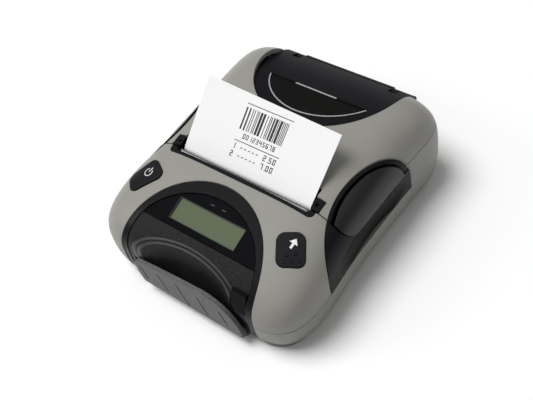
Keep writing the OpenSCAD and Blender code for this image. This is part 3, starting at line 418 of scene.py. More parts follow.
GREY = material("grey_shell", (0.285, 0.279, 0.255), 0.42, grain=0.10, grain_size=3500)
BLACK = material("black_shell", (0.006, 0.006, 0.007), 0.36, grain=0.12, grain_size=3500,
                 Specular_IOR_Level=0.12)
SATIN = material("satin_black", (0.007, 0.007, 0.008), 0.32, grain=0.06, grain_size=3500,
                 Specular_IOR_Level=0.13)
PANEL = material("textured_black", (0.013, 0.013, 0.014), 0.42, grain=0.9, grain_size=2400, mottle=0.9,
                 fleck=True, Specular_IOR_Level=0.2)
KEYS = material("key_black", (0.009, 0.009, 0.011), 0.32, grain=0.10, grain_size=3500,
                Specular_IOR_Level=0.15)
INSERT = material("insert_black", (0.004, 0.004, 0.006), 0.30, grain=0.05, grain_size=3500,
                  Specular_IOR_Level=0.1)
# The lip is black plastic: its mid grey base colour is a painted sheen, the light that its texture catches.
LIP = material("lip_black_painted_sheen", (0.11, 0.11, 0.113), 0.55, grain=0.6, grain_size=2200, mottle=0.35, fleck=True)
# Lighter than the textured panel so that the ribs round the scoop show as light lines: a painted highlight on
# real ribs.
BEAD_HIGHLIGHT = material("scoop_bead", (0.035, 0.035, 0.038), 0.3, grain=0.1)
LENS = material("gloss_lens", (0.003, 0.003, 0.004), 0.08, Specular_IOR_Level=0.06)
PAD = material("pad_black", (0.005, 0.005, 0.006), 0.34, grain=0.15, grain_size=3000, Specular_IOR_Level=0.4)
SMOKE = material("smoked_window", (0.004, 0.0035, 0.003), 0.1, Specular_IOR_Level=0.08)
SILVER = material("silver_rim", (0.62, 0.62, 0.63), 0.25, metal=0.7)
# Dim grey: the real printed marks on the lens, and the thin frame round the display, where it is a painted
# highlight for the glint along the glass edge.
DIM_PRINT_AND_GLINT = material("dim_marking_and_edge_glint", (0.05, 0.05, 0.05), 0.5, round_edge=0.0001)
PAPER = material("thermal_paper", (0.93, 0.93, 0.93), 0.55, mottle=0.01, round_edge=0.0001)
INK = material("print_ink", (0.03, 0.03, 0.03), 0.6, mottle=0.25, round_edge=0.0001)
MARK = material("key_marking", (0.86, 0.86, 0.85), 0.5, round_edge=0.0001)
LCD = material("lcd_face", (0.092, 0.121, 0.068), 0.35, mottle=0.03, Specular_IOR_Level=0.3)
STEEL = material("steel", (0.55, 0.55, 0.56), 0.3, metal=1.0, grain=0.1, grain_size=1200)
BLADE = material("tear_blade", (0.14, 0.14, 0.15), 0.4, metal=0.5, round_edge=0.0001)
TEETH = material("blade_teeth", (0.80, 0.80, 0.80), 0.4, metal=0.2, round_edge=0.0001)
CAST = material("cast_frame", (0.24, 0.25, 0.26), 0.55, metal=0.2, grain=0.3)
RUBBER = material("platen_rubber", (0.02, 0.02, 0.02), 0.75, grain=0.3)
FOOT = material("foot_rubber", (0.24, 0.236, 0.23), 0.8, grain=0.4)
GEARS = material("gear_plastic", (0.75, 0.71, 0.60), 0.45)
BRONZE = material("bronze", (0.55, 0.36, 0.14), 0.35, metal=0.9)
HEAD = material("ceramic_head", (0.35, 0.33, 0.28), 0.2, coat=0.5)
BOARD = material("circuit_board", (0.02, 0.10, 0.05), 0.35, grain=0.2, grain_size=900, mottle=0.3)
CARD = material("core_card", (0.36, 0.25, 0.14), 0.8, grain=0.3)

NODE_LOOKS = {
    "lcd_module": CAST, "lcd_glass": LCD, "key_switches": BOARD, "magnetic_head": STEEL,
    "head_spring": BRONZE, "main_board": BOARD, "print_frame": CAST, "print_head": HEAD,
    "head_bracket": STEEL, "stepper_motor": STEEL, "motor_pinion": BRONZE, "idler_gear": GEARS,
    "platen_shaft": STEEL, "platen_roller": RUBBER, "platen_gear": GEARS, "platen_bushes": BRONZE,
    "hinge_pin": STEEL, "roll_bay": BLACK, "paper_roll": PAPER, "roll_core": CARD, "paper_web": PAPER,
    "paper_sensor": BLACK, "battery_latch": SATIN, "battery_contacts": BRONZE, "charge_jack": BLACK,
    "data_socket": STEEL, "case_screws": STEEL, "board_screws": STEEL, "tear_bar": BLADE,
}
for node, look in NODE_LOOKS.items():
    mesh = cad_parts[node].data
    for i in range(max(1, len(mesh.materials))):
        if len(mesh.materials) > i:
            mesh.materials[i] = look
        else:
            mesh.materials.append(look)

# ---------------------------------------------------------------- lower case
shell = keep(housing(), join(box((-FAR, -FAR, 0), (FAR, FAR, PART_Z - SEAM / 2)),
                             box((-FAR, SIDE_Y, 0), (FAR, FAR, COVER_Z - SEAM))))
shell = cut(shell, core(WALL), *pair(prism(side_plan(), PART_Z - SEAM / 2, FAR)),
            box((-ARCH_W, -FAR, 0), (ARCH_W, CAVITY_Y, FAR)),
            box((-BATTERY_W / 2 - 1.5, BATTERY_FRONT, FLOOR_TOP + 0.1),
                (BATTERY_W / 2 + 1.5, FAR, BATTERY_TOP + 0.6)),
            rod_x(BARREL_R + 0.4, -56, 56, HINGE_Y, HINGE_Z))
extras = [rod_z(BOSS_R, sx * x, y, FLOOR_Z + 1, PART_Z - 0.4) for sx in (-1, 1) for x, y in SCREW_PLACES]
extras += [rod_z(POST_R, sx * x, y, FLOOR_Z + 1, FRAME_Z) for sx in (-1, 1) for x, y in POST_PLACES]
lug_box = box((LUG_X, HINGE_Y - LUG_R, HINGE_Z - 6), (LUG_X + LUG_W, HINGE_Y + LUG_R - 0.3, HINGE_Z))
lug = keep(join(rod_x(BARREL_R + 0.2, LUG_X, LUG_X + LUG_W, HINGE_Y, HINGE_Z), lug_box), core(0.9))
lug = join(lug, rod_x(LUG_R, LUG_X, LUG_X + LUG_W, HINGE_Y, HINGE_Z))
side_wall = box((BATTERY_W / 2 + 0.5, BATTERY_FRONT - 1.6, FLOOR_Z + 1),
                (BATTERY_W / 2 + 2, DOOR_Y - 3, BATTERY_TOP + 0.4))
shell = join(shell, *extras, *pair(side_wall),
             box((-BATTERY_W / 2 - 2, BATTERY_FRONT - 1.8, FLOOR_Z + 1),
                 (BATTERY_W / 2 + 2, BATTERY_FRONT - 0.3, BAY_TOP)))
holes = [rod_x(LUG_HOLE_R, -FAR, FAR, HINGE_Y, HINGE_Z)]
for sx in (-1, 1):
    holes += [rod_z(FOOT_R + 0.2, sx * x, y, -1, FOOT_H, 96) for x, y in FOOT_PLACES]
    holes += [rod_z(POST_HOLE_R, sx * x, y, FRAME_Z - 5.5, FRAME_Z + 1) for x, y in POST_PLACES]
    for x, y in SCREW_PLACES:
        holes += [rod_z(SCREW_R, sx * x, y, -1, FAR), rod_z(SCREW_HEAD_R, sx * x, y, -2, FLOOR_Z + 2.8)]
shell = cut(shell, *holes)
finish(shell, "lower_case", "base", ["bottom_case"], GREY)
lugs = cut(join(*pair(lug)), rod_x(LUG_HOLE_R, -FAR, FAR, HINGE_Y, HINGE_Z))
finish(lugs, "hinge_lugs", "base", [], BLACK)


def foot(x, y, n=120):
    """A round pad with a softened lower edge, cut away where the housing is."""
    profile = [(FOOT_R - 1 + math.sin(t), 1 - math.cos(t)) for t in sweep(0, 90, 15)] + [(FOOT_R, FOOT_RISE)]
    points = [(x + r * math.cos(t), y + r * math.sin(t), z)
              for t in sweep(0, 360 - 360 / n, 360 / n) for r, z in profile]
    m = len(profile)
    sides = [(i * m + k, (i + 1) % n * m + k, (i + 1) % n * m + k + 1, i * m + k + 1)
             for i in range(n) for k in range(m - 1)]
    ends = [tuple(i * m for i in range(n - 1, -1, -1)), tuple(i * m + m - 1 for i in range(n))]
    well = cut(housing(-0.05), rod_z(FOOT_R + 1, x, y, -1, FOOT_H, 96))
    return cut(new_mesh("solid", points, sides + ends), well)


feet = join(*[solid for x, y in FOOT_PLACES for solid in pair(foot(x, y))])
finish(feet, "foot_pads", "base", ["rubber_feet"], FOOT)

# ---------------------------------------------------------------- front case
front = keep(housing(), box((-FAR, -FAR, PART_Z + SEAM / 2), (FAR, SEAM_Y - SEAM_HALF, FAR)))
front = cut(front, core(WALL), prism(arch_plan(), 0, FAR), *pair(prism(side_plan(), 0, FAR)),
            prism(round_rect(TRIM_HOLE_W, 60, 3.0, 0, TRIM_Y + 29.8), 0, FAR),
            prism(feed_outline(SEAM), 0, FAR), prism(power_outline(SEAM), 0, FAR))
finish(front, "front_shell", "base", ["front_case"], GREY)


# ---------------------------------------------------------------- side grips
def release_zone(inset):
    """The right flank behind and above the seam between the fixed grip and the cover's release pad."""
    seam = [(SEAM_Y + inset, FAR)] + arc(GRIP_Y, GRIP_Z, GRIP_Y - SEAM_Y - inset, 180, 270, 4)
    bottom = GRIP_Z - (GRIP_Y - SEAM_Y) + inset
    return turn_to_x(prism(seam + [(FAR, bottom), (FAR, FAR)], 0, FAR))


def grip():
    """The fixed black panel at the right side, with a round groove for the fingers."""
    piece = keep(housing(0.25), prism(side_plan(SEAM), PART_Z + SEAM / 2, FAR))
    groove = ring_solid(HALF_W * waist(2.0) - 4 + 111, 2, 25.5, 100, 11)
    return cut(piece, release_zone(-SEAM / 2), core(8.2), groove)


finish(grip(), "grip_right", "base", ["side_panel_right"], BLACK)
left = flipped(grip())
left = cut(left, rod_x(5.2, -FAR, 0, JACK_Y, SOCKET_Z),
           box((-FAR, DATA_Y - 4.6, SOCKET_Z - 3), (0, DATA_Y + 4.6, SOCKET_Z + 3)))
finish(left, "grip_left", "base", ["side_panel_left"], BLACK)

# ---------------------------------------------------------------- arched front
bezel = keep(housing(0.4), prism(arch_plan(SEAM), PANEL_LOW, FAR))
bezel = cut(bezel, prism(lens_plan(), 0, FAR), core(2.6))
finish(bezel, "arch_bezel", "base", ["lcd_bezel"], SATIN)

display_place = (Matrix.Translation((0, DISPLAY_Y, skin_z(0, DISPLAY_Y, LENS_SUNK)))
                 @ Matrix.Rotation(math.radians(DISPLAY_TILT), 4, "X"))
hole = prism(round_rect(DISPLAY_W + 0.3, DISPLAY_D + 0.3, 0.5), -4, 4)
hole.data.transform(display_place)
lens = keep(housing(LENS_SUNK), prism(lens_plan(SEAM), 0, FAR),
            box((-FAR, LENS_EDGE + SEAM / 2, 28), (FAR, 0, FAR)))
lens = cut(lens, core(2.9), hole)
finish(lens, "display_lens", "base", ["lcd_window"], LENS)
# A thin frame round the display hole, lighter than the lens: a painted highlight for the glint along the
# glass edge.
edge = cut(prism(round_rect(DISPLAY_W + 0.26, DISPLAY_D + 0.26, 0.5), -1.4, 0.02),
           prism(round_rect(DISPLAY_W - 0.25, DISPLAY_D - 0.25, 0.4), -2, 2))
edge.data.transform(display_place)
finish(edge, "display_edge_glint", "base", [], DIM_PRINT_AND_GLINT)


def upright(outline, y, depth):
    """An outline in X and Z, run forward from y."""
    obj = prism(outline, 0, depth)
    obj.data.transform(Matrix(((1, 0, 0, 0), (0, 0, -1, y), (0, 1, 0, 0), (0, 0, 0, 1))))
    return obj


def scoop(grow=0.0):
    """The leaning cylinder that hollows the front above the card slot."""
    piece = rod_z(SCOOP_R + grow, 0, 0, 0, 120, 720)
    lean = Matrix.Rotation(math.radians(-SCOOP_LEAN), 4, "X")
    piece.data.transform(Matrix.Translation((0, SCOOP_BACK, SCOOP_Z)) @ lean
                         @ Matrix.Translation((0, -SCOOP_R, -60)))
    return piece


def lip_end(t, dx=0.0, dz=0.0):
    """A place on the quarter of an ellipse at the lip's right end."""
    across, rise = LIP_RIGHT + dx - LIP_PEAK, LIP_TOP + dz - LIP_FOOT
    return (LIP_PEAK + across * math.sin(t), LIP_FOOT + rise * math.cos(t))


def slot_recess():
    """The hollow in the front that the lip stands in, open below."""
    outline = [(-LIP_LEFT - 3.2, 0), (-LIP_LEFT - 3.2, LIP_TOP - 8.8), (LIP_PEAK, LIP_TOP - 7)]
    outline += [lip_end(t, 4, 1.9) for t in sweep(15, 90, 3)] + [(LIP_RIGHT + 4, 0)]
    return upright(outline, SLOT_BACK, FAR)


def upright_window(grow, front, back):
    """The leaning window of the sensor, grown sideways and run on to the front and the back."""
    quad = [(IR_LOW[0] - front, IR_LOW[1]), (IR_HIGH[0] - front, IR_HIGH[1]),
            (IR_HIGH[0] + back, IR_HIGH[1]), (IR_LOW[0] + back, IR_LOW[1])]
    return turn_to_x(prism(quad, IR_X[0] - grow, IR_X[1] + grow))


panel = keep(housing(0.7), prism(lens_plan(SEAM), PANEL_LOW, FAR),
             box((-FAR, -FAR, 0), (FAR, LENS_EDGE - SEAM / 2, FAR)))
panel = cut(panel, core(8), box((-15, SLOT_BACK + 6, PANEL_LOW + 3), (15, 0, PART_Z)), scoop(), slot_recess(),
            upright_window(0.2, 20, IR_DEEP + 0.2),
            box((-5.3, SLOT_BACK - 1, CARD_Z - 2.9), (5.3, 0, CARD_Z + 2.9)))
finish(panel, "front_skin", "base", ["front_panel"], PANEL)


def bead(start, end):
    """A low rib round the scoop, between two distances from its edge."""
    piece = keep(housing(0.45), prism(lens_plan(SEAM), PANEL_LOW, FAR),
                 box((-FAR, -FAR, 0), (FAR, LENS_EDGE - 0.4, FAR)), scoop(end))
    return cut(piece, scoop(start), core(1.3), slot_recess(), upright_window(0.6, 20, IR_DEEP + 0.6))


# The ribs take the bead finish, whose lighter grey is a painted highlight.
finish(join(bead(0.02, 0.5), bead(1.25, 1.75)), "scoop_beads", "base", [], BEAD_HIGHLIGHT)
window = cut(upright_window(0, 0, IR_DEEP), slot_recess())
finish(window, "sensor_window", "base", ["ir_window"], LENS)


def lip_outline():
    """The lip seen from the front, in X and Z."""
    x0, z0 = -LIP_LEFT + 2.7, LIP_TOP - 5.3
    points = [(LIP_RIGHT - 0.6, LIP_LOW), (-LIP_LEFT + 2.4, LIP_LOW), (-LIP_LEFT, LIP_LOW + 7.5)]
    points += arc(-LIP_LEFT + 3.6, LIP_TOP - 8.8, 3.6, 180, 105)
    for k in range(1, 12):
        bulge = 0.5 * math.sin(math.pi * k / 12)
        points.append((x0 + (LIP_PEAK - x0) * k / 12, z0 + (LIP_TOP - z0) * k / 12 + bulge))
    return points + [lip_end(t) for t in sweep(0, 90, 4)]


lip = upright(lip_outline(), LIP_Y + LIP_T, LIP_T)
carrier = [(LIP_Y + 0.1, LIP_LOW), (LIP_Y + 0.1, LIP_LOW + 2.2),
           (SLOT_BACK - SEAM, LIP_LOW + 2.2), (SLOT_BACK - SEAM, PANEL_LOW - SEAM),
           (CAVITY_Y - SEAM, PANEL_LOW - SEAM), (CAVITY_Y - SEAM, FOOT_H + 0.1),
           (SLOT_BACK + 0.2, FOOT_H + 0.1)]
lip = join(lip, turn_to_x(prism(carrier, -LIP_LEFT + 3, LIP_RIGHT - 1.2)))
grooves = []
for i in range(-2, 3):
    half = 8.3 - 1.5 * abs(i)
    groove = box((-0.4, -1, -half), (0.4, 0.9, half))
    groove.data.transform(Matrix.Translation((i * 13 - 1, LIP_Y, 15.7))
                          @ Matrix.Rotation(math.radians(-17.5), 4, "Y"))
    grooves.append(groove)
lip = cut(lip, *grooves)
# The lip's grey finish is a painted sheen on black plastic.
finish(lip, "slot_lip", "base", ["card_lip"], LIP)

# ---------------------------------------------------------------- slot trim
trim = keep(prism(round_rect(2 * TRIM_W, 60, 2.8, 0, TRIM_Y + 30), skin_z(0, TRIM_Y) - 9, FAR),
            box((-FAR, -FAR, 0), (FAR, SEAM_Y - 0.5, FAR)))
trim = cut(trim, prism(round_rect(PAPER_W + 2.7, 60, 0.8, 0, TRIM_Y + 32.1), 0, FAR))
roof = rod_z(ROOF_R, 0, 0, -40, 0, 1440)
roof.data.transform(Matrix.Translation((0, 0, skin_z(0, TRIM_Y) - ROOF_R - 0.1))
                    @ Matrix.Rotation(math.radians(-90), 4, "X"))
trim = keep(trim, roof)
finish(trim, "slot_edge", "base", ["slot_trim"], BLACK)
teeth = []
for i in range(-52, 53):
    tooth = box((-0.2, 0.3, 0.6), (0.2, 2.5, 0.85))
    tooth.data.transform(Matrix.Translation((i * 0.75, TRIM_Y + 2.4, SLOT_Z - 1))
                         @ Matrix.Rotation(math.radians(34), 4, "X"))
    teeth.append(tooth)


# ---------------------------------------------------------------- keys
def key(outline, name, body, node):
    """A cap with a wider flange under the skin and a stem down to its switch."""
    cap = keep(housing(-KEY_RISE), prism(outline(0.0), 30, FAR))
    flange = keep(core(WALL + 0.7), prism(outline(1.0), 30, FAR))
    cap = cut(join(cap, flange), core(WALL + 1.6))
    x = KEY_X if node == "feed_button" else -KEY_X
    cap = join(cap, rod_z(2, x, KEY_Y, 39, skin_z(KEY_X, KEY_Y, WALL)))
    return finish(cap, name, body, [node], KEYS)


key(feed_outline, "feed_cap", "feed_key", "feed_button")
key(power_outline, "power_cap", "power_key", "power_button")


def on_skin(points, inset, thick):
    """A thin patch that follows the skin, drawn from an outline of plan points."""
    n = len(points)
    top = [(x, y, skin_z(x, y, inset) + thick) for x, y in points]
    low = [(x, y, skin_z(x, y, inset) - 0.15) for x, y in points]
    return new_mesh("mark", low + top, stacked(n))


def rect(u, v, w, h):
    return [(u, v), (u + w, v), (u + w, v + h), (u, v + h)]


def band(r0, r1, a0, a1, step=12):
    """Part of a ring, as one outline."""
    return arc(0, 0, r1, a0, a1, step) + arc(0, 0, r0, a1, a0, step)


def group(name, parts, body, mat):
    """Several solids handed over as one piece."""
    bpy.ops.object.select_all(action="DESELECT")
    for p in parts:
        p.select_set(True)
    bpy.context.view_layer.objects.active = parts[0]
    bpy.ops.object.join()
    return finish(parts[0], name, body, [], mat)


group("blade_ribs", teeth, "base", TEETH)
dots = [on_skin(turned(disc(0.78, x, y), KEY_X, KEY_Y, KEY_TURN), -KEY_RISE, 0.65) for x, y in DOT_PLACES]
group("feed_dots", dots, "feed_key", KEYS)
arrow = [(-0.6, -2.6), (0.6, -2.6), (0.6, 0), (2.2, 0), (0, 2.7), (-2.2, 0), (-0.6, 0)]
mid = turned([(1.3, 2.4)], KEY_X, KEY_Y, KEY_TURN)[0]
arrow = on_skin(turned(arrow, *mid, 0), -KEY_RISE, MARK_RISE)
group("feed_arrow", [arrow], "feed_key", MARK)
dashes = [on_skin(rect(x, -40.7, 2.6, 0.45), LENS_SUNK, MARK_RISE) for x in (-3.8, 3.2)]
group("lens_marks", dashes, "base", DIM_PRINT_AND_GLINT)
symbol = [band(1.95, 2.4, 126, 414), [(-0.28, 0.2), (0.28, 0.2), (0.28, 3.1), (-0.28, 3.1)]]
symbol = [turned(turned(outline, -1.45, 1.3, 16), -KEY_X, KEY_Y, -KEY_TURN) for outline in symbol]
symbol = [on_skin(outline, -KEY_RISE, MARK_RISE) for outline in symbol]
group("power_symbol", symbol, "power_key", MARK)

# ---------------------------------------------------------------- paper cover
cover = keep(housing(), box((-FAR, SEAM_Y + SEAM_HALF, COVER_Z), (FAR, FAR, FAR)))
cover = cut(cover, core(WALL), *pair(prism(side_plan(), 0, FAR)), prism(insert_plan(), 0, FAR),
            box((-NOSE_W - 0.3, -FAR, 0), (NOSE_W + 0.3, NOSE_Y, FAR)),
            *pair(box((NOSE_W, -FAR, 0), (TAB_X + TAB_W + 0.3, SEAM_Y + 7, FAR))))
finish(cover, "cover_shell", "cover", ["paper_cover"], GREY)


def tab():
    """The cover's shoulder beside the slot, with a small round dimple."""
    low = skin_z(ARM_X, SEAM_Y + 7, WALL) + 0.1
    piece = keep(housing(0.4), prism(round_rect(TAB_W, 6.4, 1.5, TAB_X + TAB_W / 2, SEAM_Y + 3.6), low, FAR))
    return cut(piece, rod_z(0.9, TAB_X + 1.9, SEAM_Y + 3.4, skin_z(TAB_X, SEAM_Y) - 1.6, FAR))


group("slot_tabs", list(pair(tab())), "cover", BLACK)
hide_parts("cover_tabs")


def frame_side():
    """The right half of the cover's frame: a rim round the release pad, a ledge and an arm for the platen."""
    rim = cut(prism(side_plan(SEAM), GRIP_LOW, FAR), prism(side_plan(SEAM + RIM_T), 0, FAR + 1))
    rim = keep(housing(0.6), rim, release_zone(SEAM))
    ledge = keep(core(4.6), cut(box((ARM_X, SEAM_Y + 2.5, COVER_Z + 0.4), (FAR, 40, COVER_Z + 1.6)),
                                box((ARM_X + ARM_T, PLATEN_Y - 8, 0), (50.2, PLATEN_Y + 8, FAR))))
    arm = keep(core(WALL + 0.3), box((ARM_X, SEAM_Y + 4, COVER_Z + 0.4), (ARM_X + ARM_T, 60, FAR)))
    return join(rim, ledge, arm, rod_x(4, ARM_X, ARM_X + ARM_T, PLATEN_Y, PLATEN_Z))


nose = [(-16.95, NOSE_Z), (-17.15, 45.1), (NOSE_Y - SEAM, SLOT_Z + 4.7), (NOSE_Y - SEAM, NOSE_Z)]
nose = turn_to_x(prism(nose[::-1], -NOSE_W, NOSE_W))
nose = keep(nose, core(0.4))
beam = keep(core(WALL + 0.3), box((-NOSE_W, NOSE_Y - SEAM - 0.2, NOSE_Z), (NOSE_W, NOSE_Y + 2, FAR)))
inner = join(*pair(frame_side()), nose, beam,
             box((-ARM_X - 0.1, -15.65, NOSE_Z), (ARM_X + 0.1, NOSE_Y + 1, 45.9)))
inner = cut(inner, rod_x(SHAFT_R + 0.05, -FAR, FAR, PLATEN_Y, PLATEN_Z),
            *pair(rod_x(7, 45.9, 49.6, PLATEN_Y, PLATEN_Z)),
            *[rod_x(1.65, -FAR, FAR, y, z) for y, z in ROD_PLACES])
finish(inner, "cover_carrier", "cover", ["cover_frame"], BLACK)


def pad(inset):
    """The cover's release button at the right side, on two rods."""
    piece = keep(housing(inset), prism(side_plan(SEAM + RIM_T + PAD_GAP), GRIP_LOW, FAR), release_zone(0.35))
    piece = cut(piece, core(1.6))
    rods = [keep(rod_x(1.5, ARM_X - 1.7, HALF_W, y, z), core(1.2)) for y, z in ROD_PLACES]
    return join(piece, *rods)


finish(pad(-0.6), "release_right_pad", "release_right", ["release_button_right"], PAD)
finish(flipped(pad(0.5)), "release_left_pad", "release_left", ["release_button_left"], PAD)

# ---------------------------------------------------------------- black insert, window and rim
slab = keep(insert_slab(0, 2), prism(insert_plan(SEAM), 0, FAR))
skirt = cut(prism(insert_plan(SEAM), 0, FAR), prism(insert_plan(SEAM + 1.2), -1, FAR + 1))
skirt = keep(housing(1.1), skirt, box((-FAR, 0, COVER_Z), (FAR, HINGE_Y - 2, FAR)))
skirt = cut(skirt, insert_slab(FAR, 1.8, 60))
outer_barrel = (LUG_X + LUG_W + 0.3, INSERT_W - 0.3, HINGE_Y, HINGE_Z)
insert = join(slab, skirt, rod_x(BARREL_R, -BARREL_W, BARREL_W, HINGE_Y, HINGE_Z, 96),
              *pair(keep(rod_x(BARREL_R + 0.3, *outer_barrel), core(0.8))),
              *pair(rod_x(LUG_R, *outer_barrel)))
insert = cut(insert, *pair(box((LUG_X - 0.3, HINGE_Y - BARREL_R - 0.5, 0), (LUG_X + LUG_W + 0.3, FAR, FAR))),
             rod_x(BARREL_HOLE_R, -FAR, FAR, HINGE_Y, HINGE_Z), prism(moon_plan(), 0, FAR),
             keep(insert_slab(5, 0.5), prism(moon_plan(0.7), 0, FAR)))
finish(insert, "rear_insert", "cover", ["cover_insert"], INSERT)
glazing = keep(insert_slab(-0.6, 2), prism(moon_plan(-0.25), 0, FAR))
finish(glazing, "roll_window", "cover", ["paper_window"], SMOKE)
rim = cut(keep(insert_slab(0.3, 0.45), prism(moon_plan(0.55), 0, FAR)), prism(moon_plan(-0.15), 0, FAR),
          box((-FAR, MOON_Y - 0.15, 0), (FAR, FAR, FAR)))
rim = join(rim, keep(insert_slab(0.3, 0.5), box((-12.7, MOON_Y - 0.3, 0), (12.9, MOON_Y + 0.6, FAR))))
finish(rim, "moon_rim", "cover", ["window_rim"], SILVER)

# ---------------------------------------------------------------- battery door
pack = box((-BATTERY_W / 2, BATTERY_FRONT + 0.3, BATTERY_Z), (BATTERY_W / 2, DOOR_Y + 0.1, BATTERY_TOP))
door = keep(housing(0.2), box((-BATTERY_W / 2 - 1.2, DOOR_Y, FLOOR_TOP + 0.4),
                              (BATTERY_W / 2 + 1.2, FAR, BATTERY_TOP + 0.3)))
pack = cut(join(pack, door),
           box((-LATCH_W - 0.3, BODY_Y + HALF_D - 2.2, BATTERY_Z + 19),
               (LATCH_W + 0.3, FAR, BATTERY_TOP - 1)),
           *[box((x - 1.6, 0, BATTERY_Z + 6.5), (x + 1.6, BATTERY_FRONT + 0.8, BATTERY_Z + 13.5))
             for x in CONTACT_PLACES])
finish(pack, "battery_door", "battery", ["battery_pack"], BLACK)

# ---------------------------------------------------------------- printed strip
NIP_Y = PLATEN_Y - PLATEN_R - 0.15 - PAPER_T / 2
STRIP_L, STRIP_LEAN, STRIP_TWIST, STRIP_SKEW, BEND_R = 38.7, 39.1, 2.9, 1.4, 3.0
BEND_START, BEND_STEPS, RUN_STEPS, STRIP_COLS = 192, 12, 24, 40


def strip_side(lean, length):
    """One side of the strip, as points in Y and Z from the nip to the free end."""
    turn = 90 - lean + 12
    c = np.array((SLOT_Y + BEND_R, SLOT_Z - 1.4))
    points = [np.array((NIP_Y, PLATEN_Z + 0.1)), np.array((NIP_Y, PLATEN_Z + 1.5))]
    for i in range(BEND_STEPS + 1):
        a = math.radians(BEND_START - turn * i / BEND_STEPS)
        points.append(c + BEND_R * np.array((math.cos(a), math.sin(a))))
    start, along = points[-1], np.array((math.cos(math.radians(lean)), math.sin(math.radians(lean))))
    for i in range(1, RUN_STEPS + 1):
        points.append(start + (length - 1.5) * i / RUN_STEPS * along)
    return np.array(points)


STRIP_LEFT = strip_side(STRIP_LEAN + STRIP_TWIST, STRIP_L + STRIP_SKEW)
STRIP_RIGHT = strip_side(STRIP_LEAN - STRIP_TWIST, STRIP_L - STRIP_SKEW)


def strip_line(s):
    """The strip's middle line at share s of its width."""
    return STRIP_LEFT * (1 - s) + STRIP_RIGHT * s


grid = np.array([[(-PAPER_W / 2 + PAPER_W * k / STRIP_COLS, *p) for p in strip_line(k / STRIP_COLS)]
                 for k in range(STRIP_COLS + 1)])
cols, rows = grid.shape[:2]
side = np.zeros_like(grid)
for k in range(cols):
    line = grid[k, :, 1:]
    d = np.gradient(line, axis=0)
    d /= np.linalg.norm(d, axis=1)[:, None]
    side[k, :, 1], side[k, :, 2] = -d[:, 1], d[:, 0]
upper = (grid + side * PAPER_T / 2).reshape(-1, 3)
lower = (grid - side * PAPER_T / 2).reshape(-1, 3)
total = cols * rows
faces = []
for k in range(cols - 1):
    for j in range(rows - 1):
        a, b, c, d = k * rows + j, (k + 1) * rows + j, (k + 1) * rows + j + 1, k * rows + j + 1
        faces += [(a, b, c, d), (total + d, total + c, total + b, total + a)]
for k in range(cols - 1):
    faces.append((k * rows, total + k * rows, total + (k + 1) * rows, (k + 1) * rows))
    faces.append((k * rows + rows - 1, (k + 1) * rows + rows - 1,
                  total + (k + 1) * rows + rows - 1, total + k * rows + rows - 1))
for j in range(rows - 1):
    faces.append((j, j + 1, total + j + 1, total + j))
    e = (cols - 1) * rows + j
    faces.append((e, total + e, total + e + 1, e + 1))
strip = new_mesh("strip", list(upper) + list(lower), faces)
finish(strip, "printed_strip", "cover", ["receipt"], PAPER, 40)

# The print: a bar code, rows of figures and lines
FIRST = BEND_STEPS + 2  # the row where the strip leaves the slot's bend


def on_paper(u, v, lift=MARK_RISE):
    """A place on the printed side: u across from the left, v up from the slot, in millimetres."""
    s = u / PAPER_W
    line = strip_line(s)
    a, b = line[FIRST], line[-1]
    d = (b - a) / np.linalg.norm(b - a)
    p = a + d * v
    return (-PAPER_W / 2 + u, p[0] - d[1] * (PAPER_T / 2 + lift), p[1] + d[0] * (PAPER_T / 2 + lift))


def printed(outline):
    """A thin patch on the strip's printed side."""
    n = len(outline)
    points = [on_paper(u, v) for u, v in outline] + [on_paper(u, v, -0.02) for u, v in outline]
    sides = [(i, n + i, n + (i + 1) % n, (i + 1) % n) for i in range(n)]
    return new_mesh("mark", points, [tuple(range(n)), tuple(range(2 * n - 1, n - 1, -1))] + sides)


SEGMENTS = {"0": "abcdef", "1": "bc", "2": "abged", "3": "abgcd", "4": "fgbc", "5": "afgcd", "6": "afgedc",
            "7": "abc", "8": "abcdefg", "9": "abcdfg"}


def figure(ch, u, v, h):
    """A figure of seven segments, or a point."""
    w, t = h * 0.55, h * 0.16
    m = h / 2
    bars = {"a": (u, v + h - t, w, t), "g": (u, v + m - t / 2, w, t), "d": (u, v, w, t),
            "f": (u, v + m, t, m), "b": (u + w - t, v + m, t, m),
            "e": (u, v, t, m), "c": (u + w - t, v, t, m)}
    if ch == ".":
        return [rect(u + w / 3, v, t, t)]
    return [rect(*bars[k]) for k in SEGMENTS[ch]]


def figures(text, u, v, h):
    out = []
    for ch in text:
        out += figure(ch, u, v, h)
        u += h * (0.4 if ch == "." else 0.8)
    return out


marks = []
rng = random.Random(5)
u = 27.0
while u < 53.0:
    w = rng.choice((0.45, 0.45, 0.9, 1.3))
    marks.append(rect(u, 19.5, w, 11.5))
    u += w + rng.choice((0.45, 0.7, 1.1))
marks += figures("0012345678", 30.6, 15.6, 2.5)
marks += [rect(26.6, 32.6, 27.4, 0.4), rect(26.6, 13.6, 27.4, 0.4)]
for k, (left_text, right_text) in enumerate((("1", "2.50"), ("2", "7.00"))):
    marks += figures(left_text, 26.8, 9.6 - 4.2 * k, 2.9)
    marks += figures(right_text, 45.6, 9.6 - 4.2 * k, 2.9)
    marks += [rect(31.5 + 2.4 * i, 10.8 - 4.2 * k, 1.3, 0.45) for i in range(5)]
group("strip_print", [printed(m) for m in marks], "cover", INK)

# ---------------------------------------------------------------- stage, light and camera
def seen(tree):
    """1 for the rays that show the background: from the camera, a reflection or a refraction."""
    path = tree.nodes.new("ShaderNodeLightPath")
    value = path.outputs["Is Camera Ray"]
    for name in ("Is Glossy Ray", "Is Transmission Ray"):
        largest = tree.nodes.new("ShaderNodeMath")
        largest.operation = "MAXIMUM"
        tree.links.new(value, largest.inputs[0])
        tree.links.new(path.outputs[name], largest.inputs[1])
        value = largest.outputs[0]
    return value


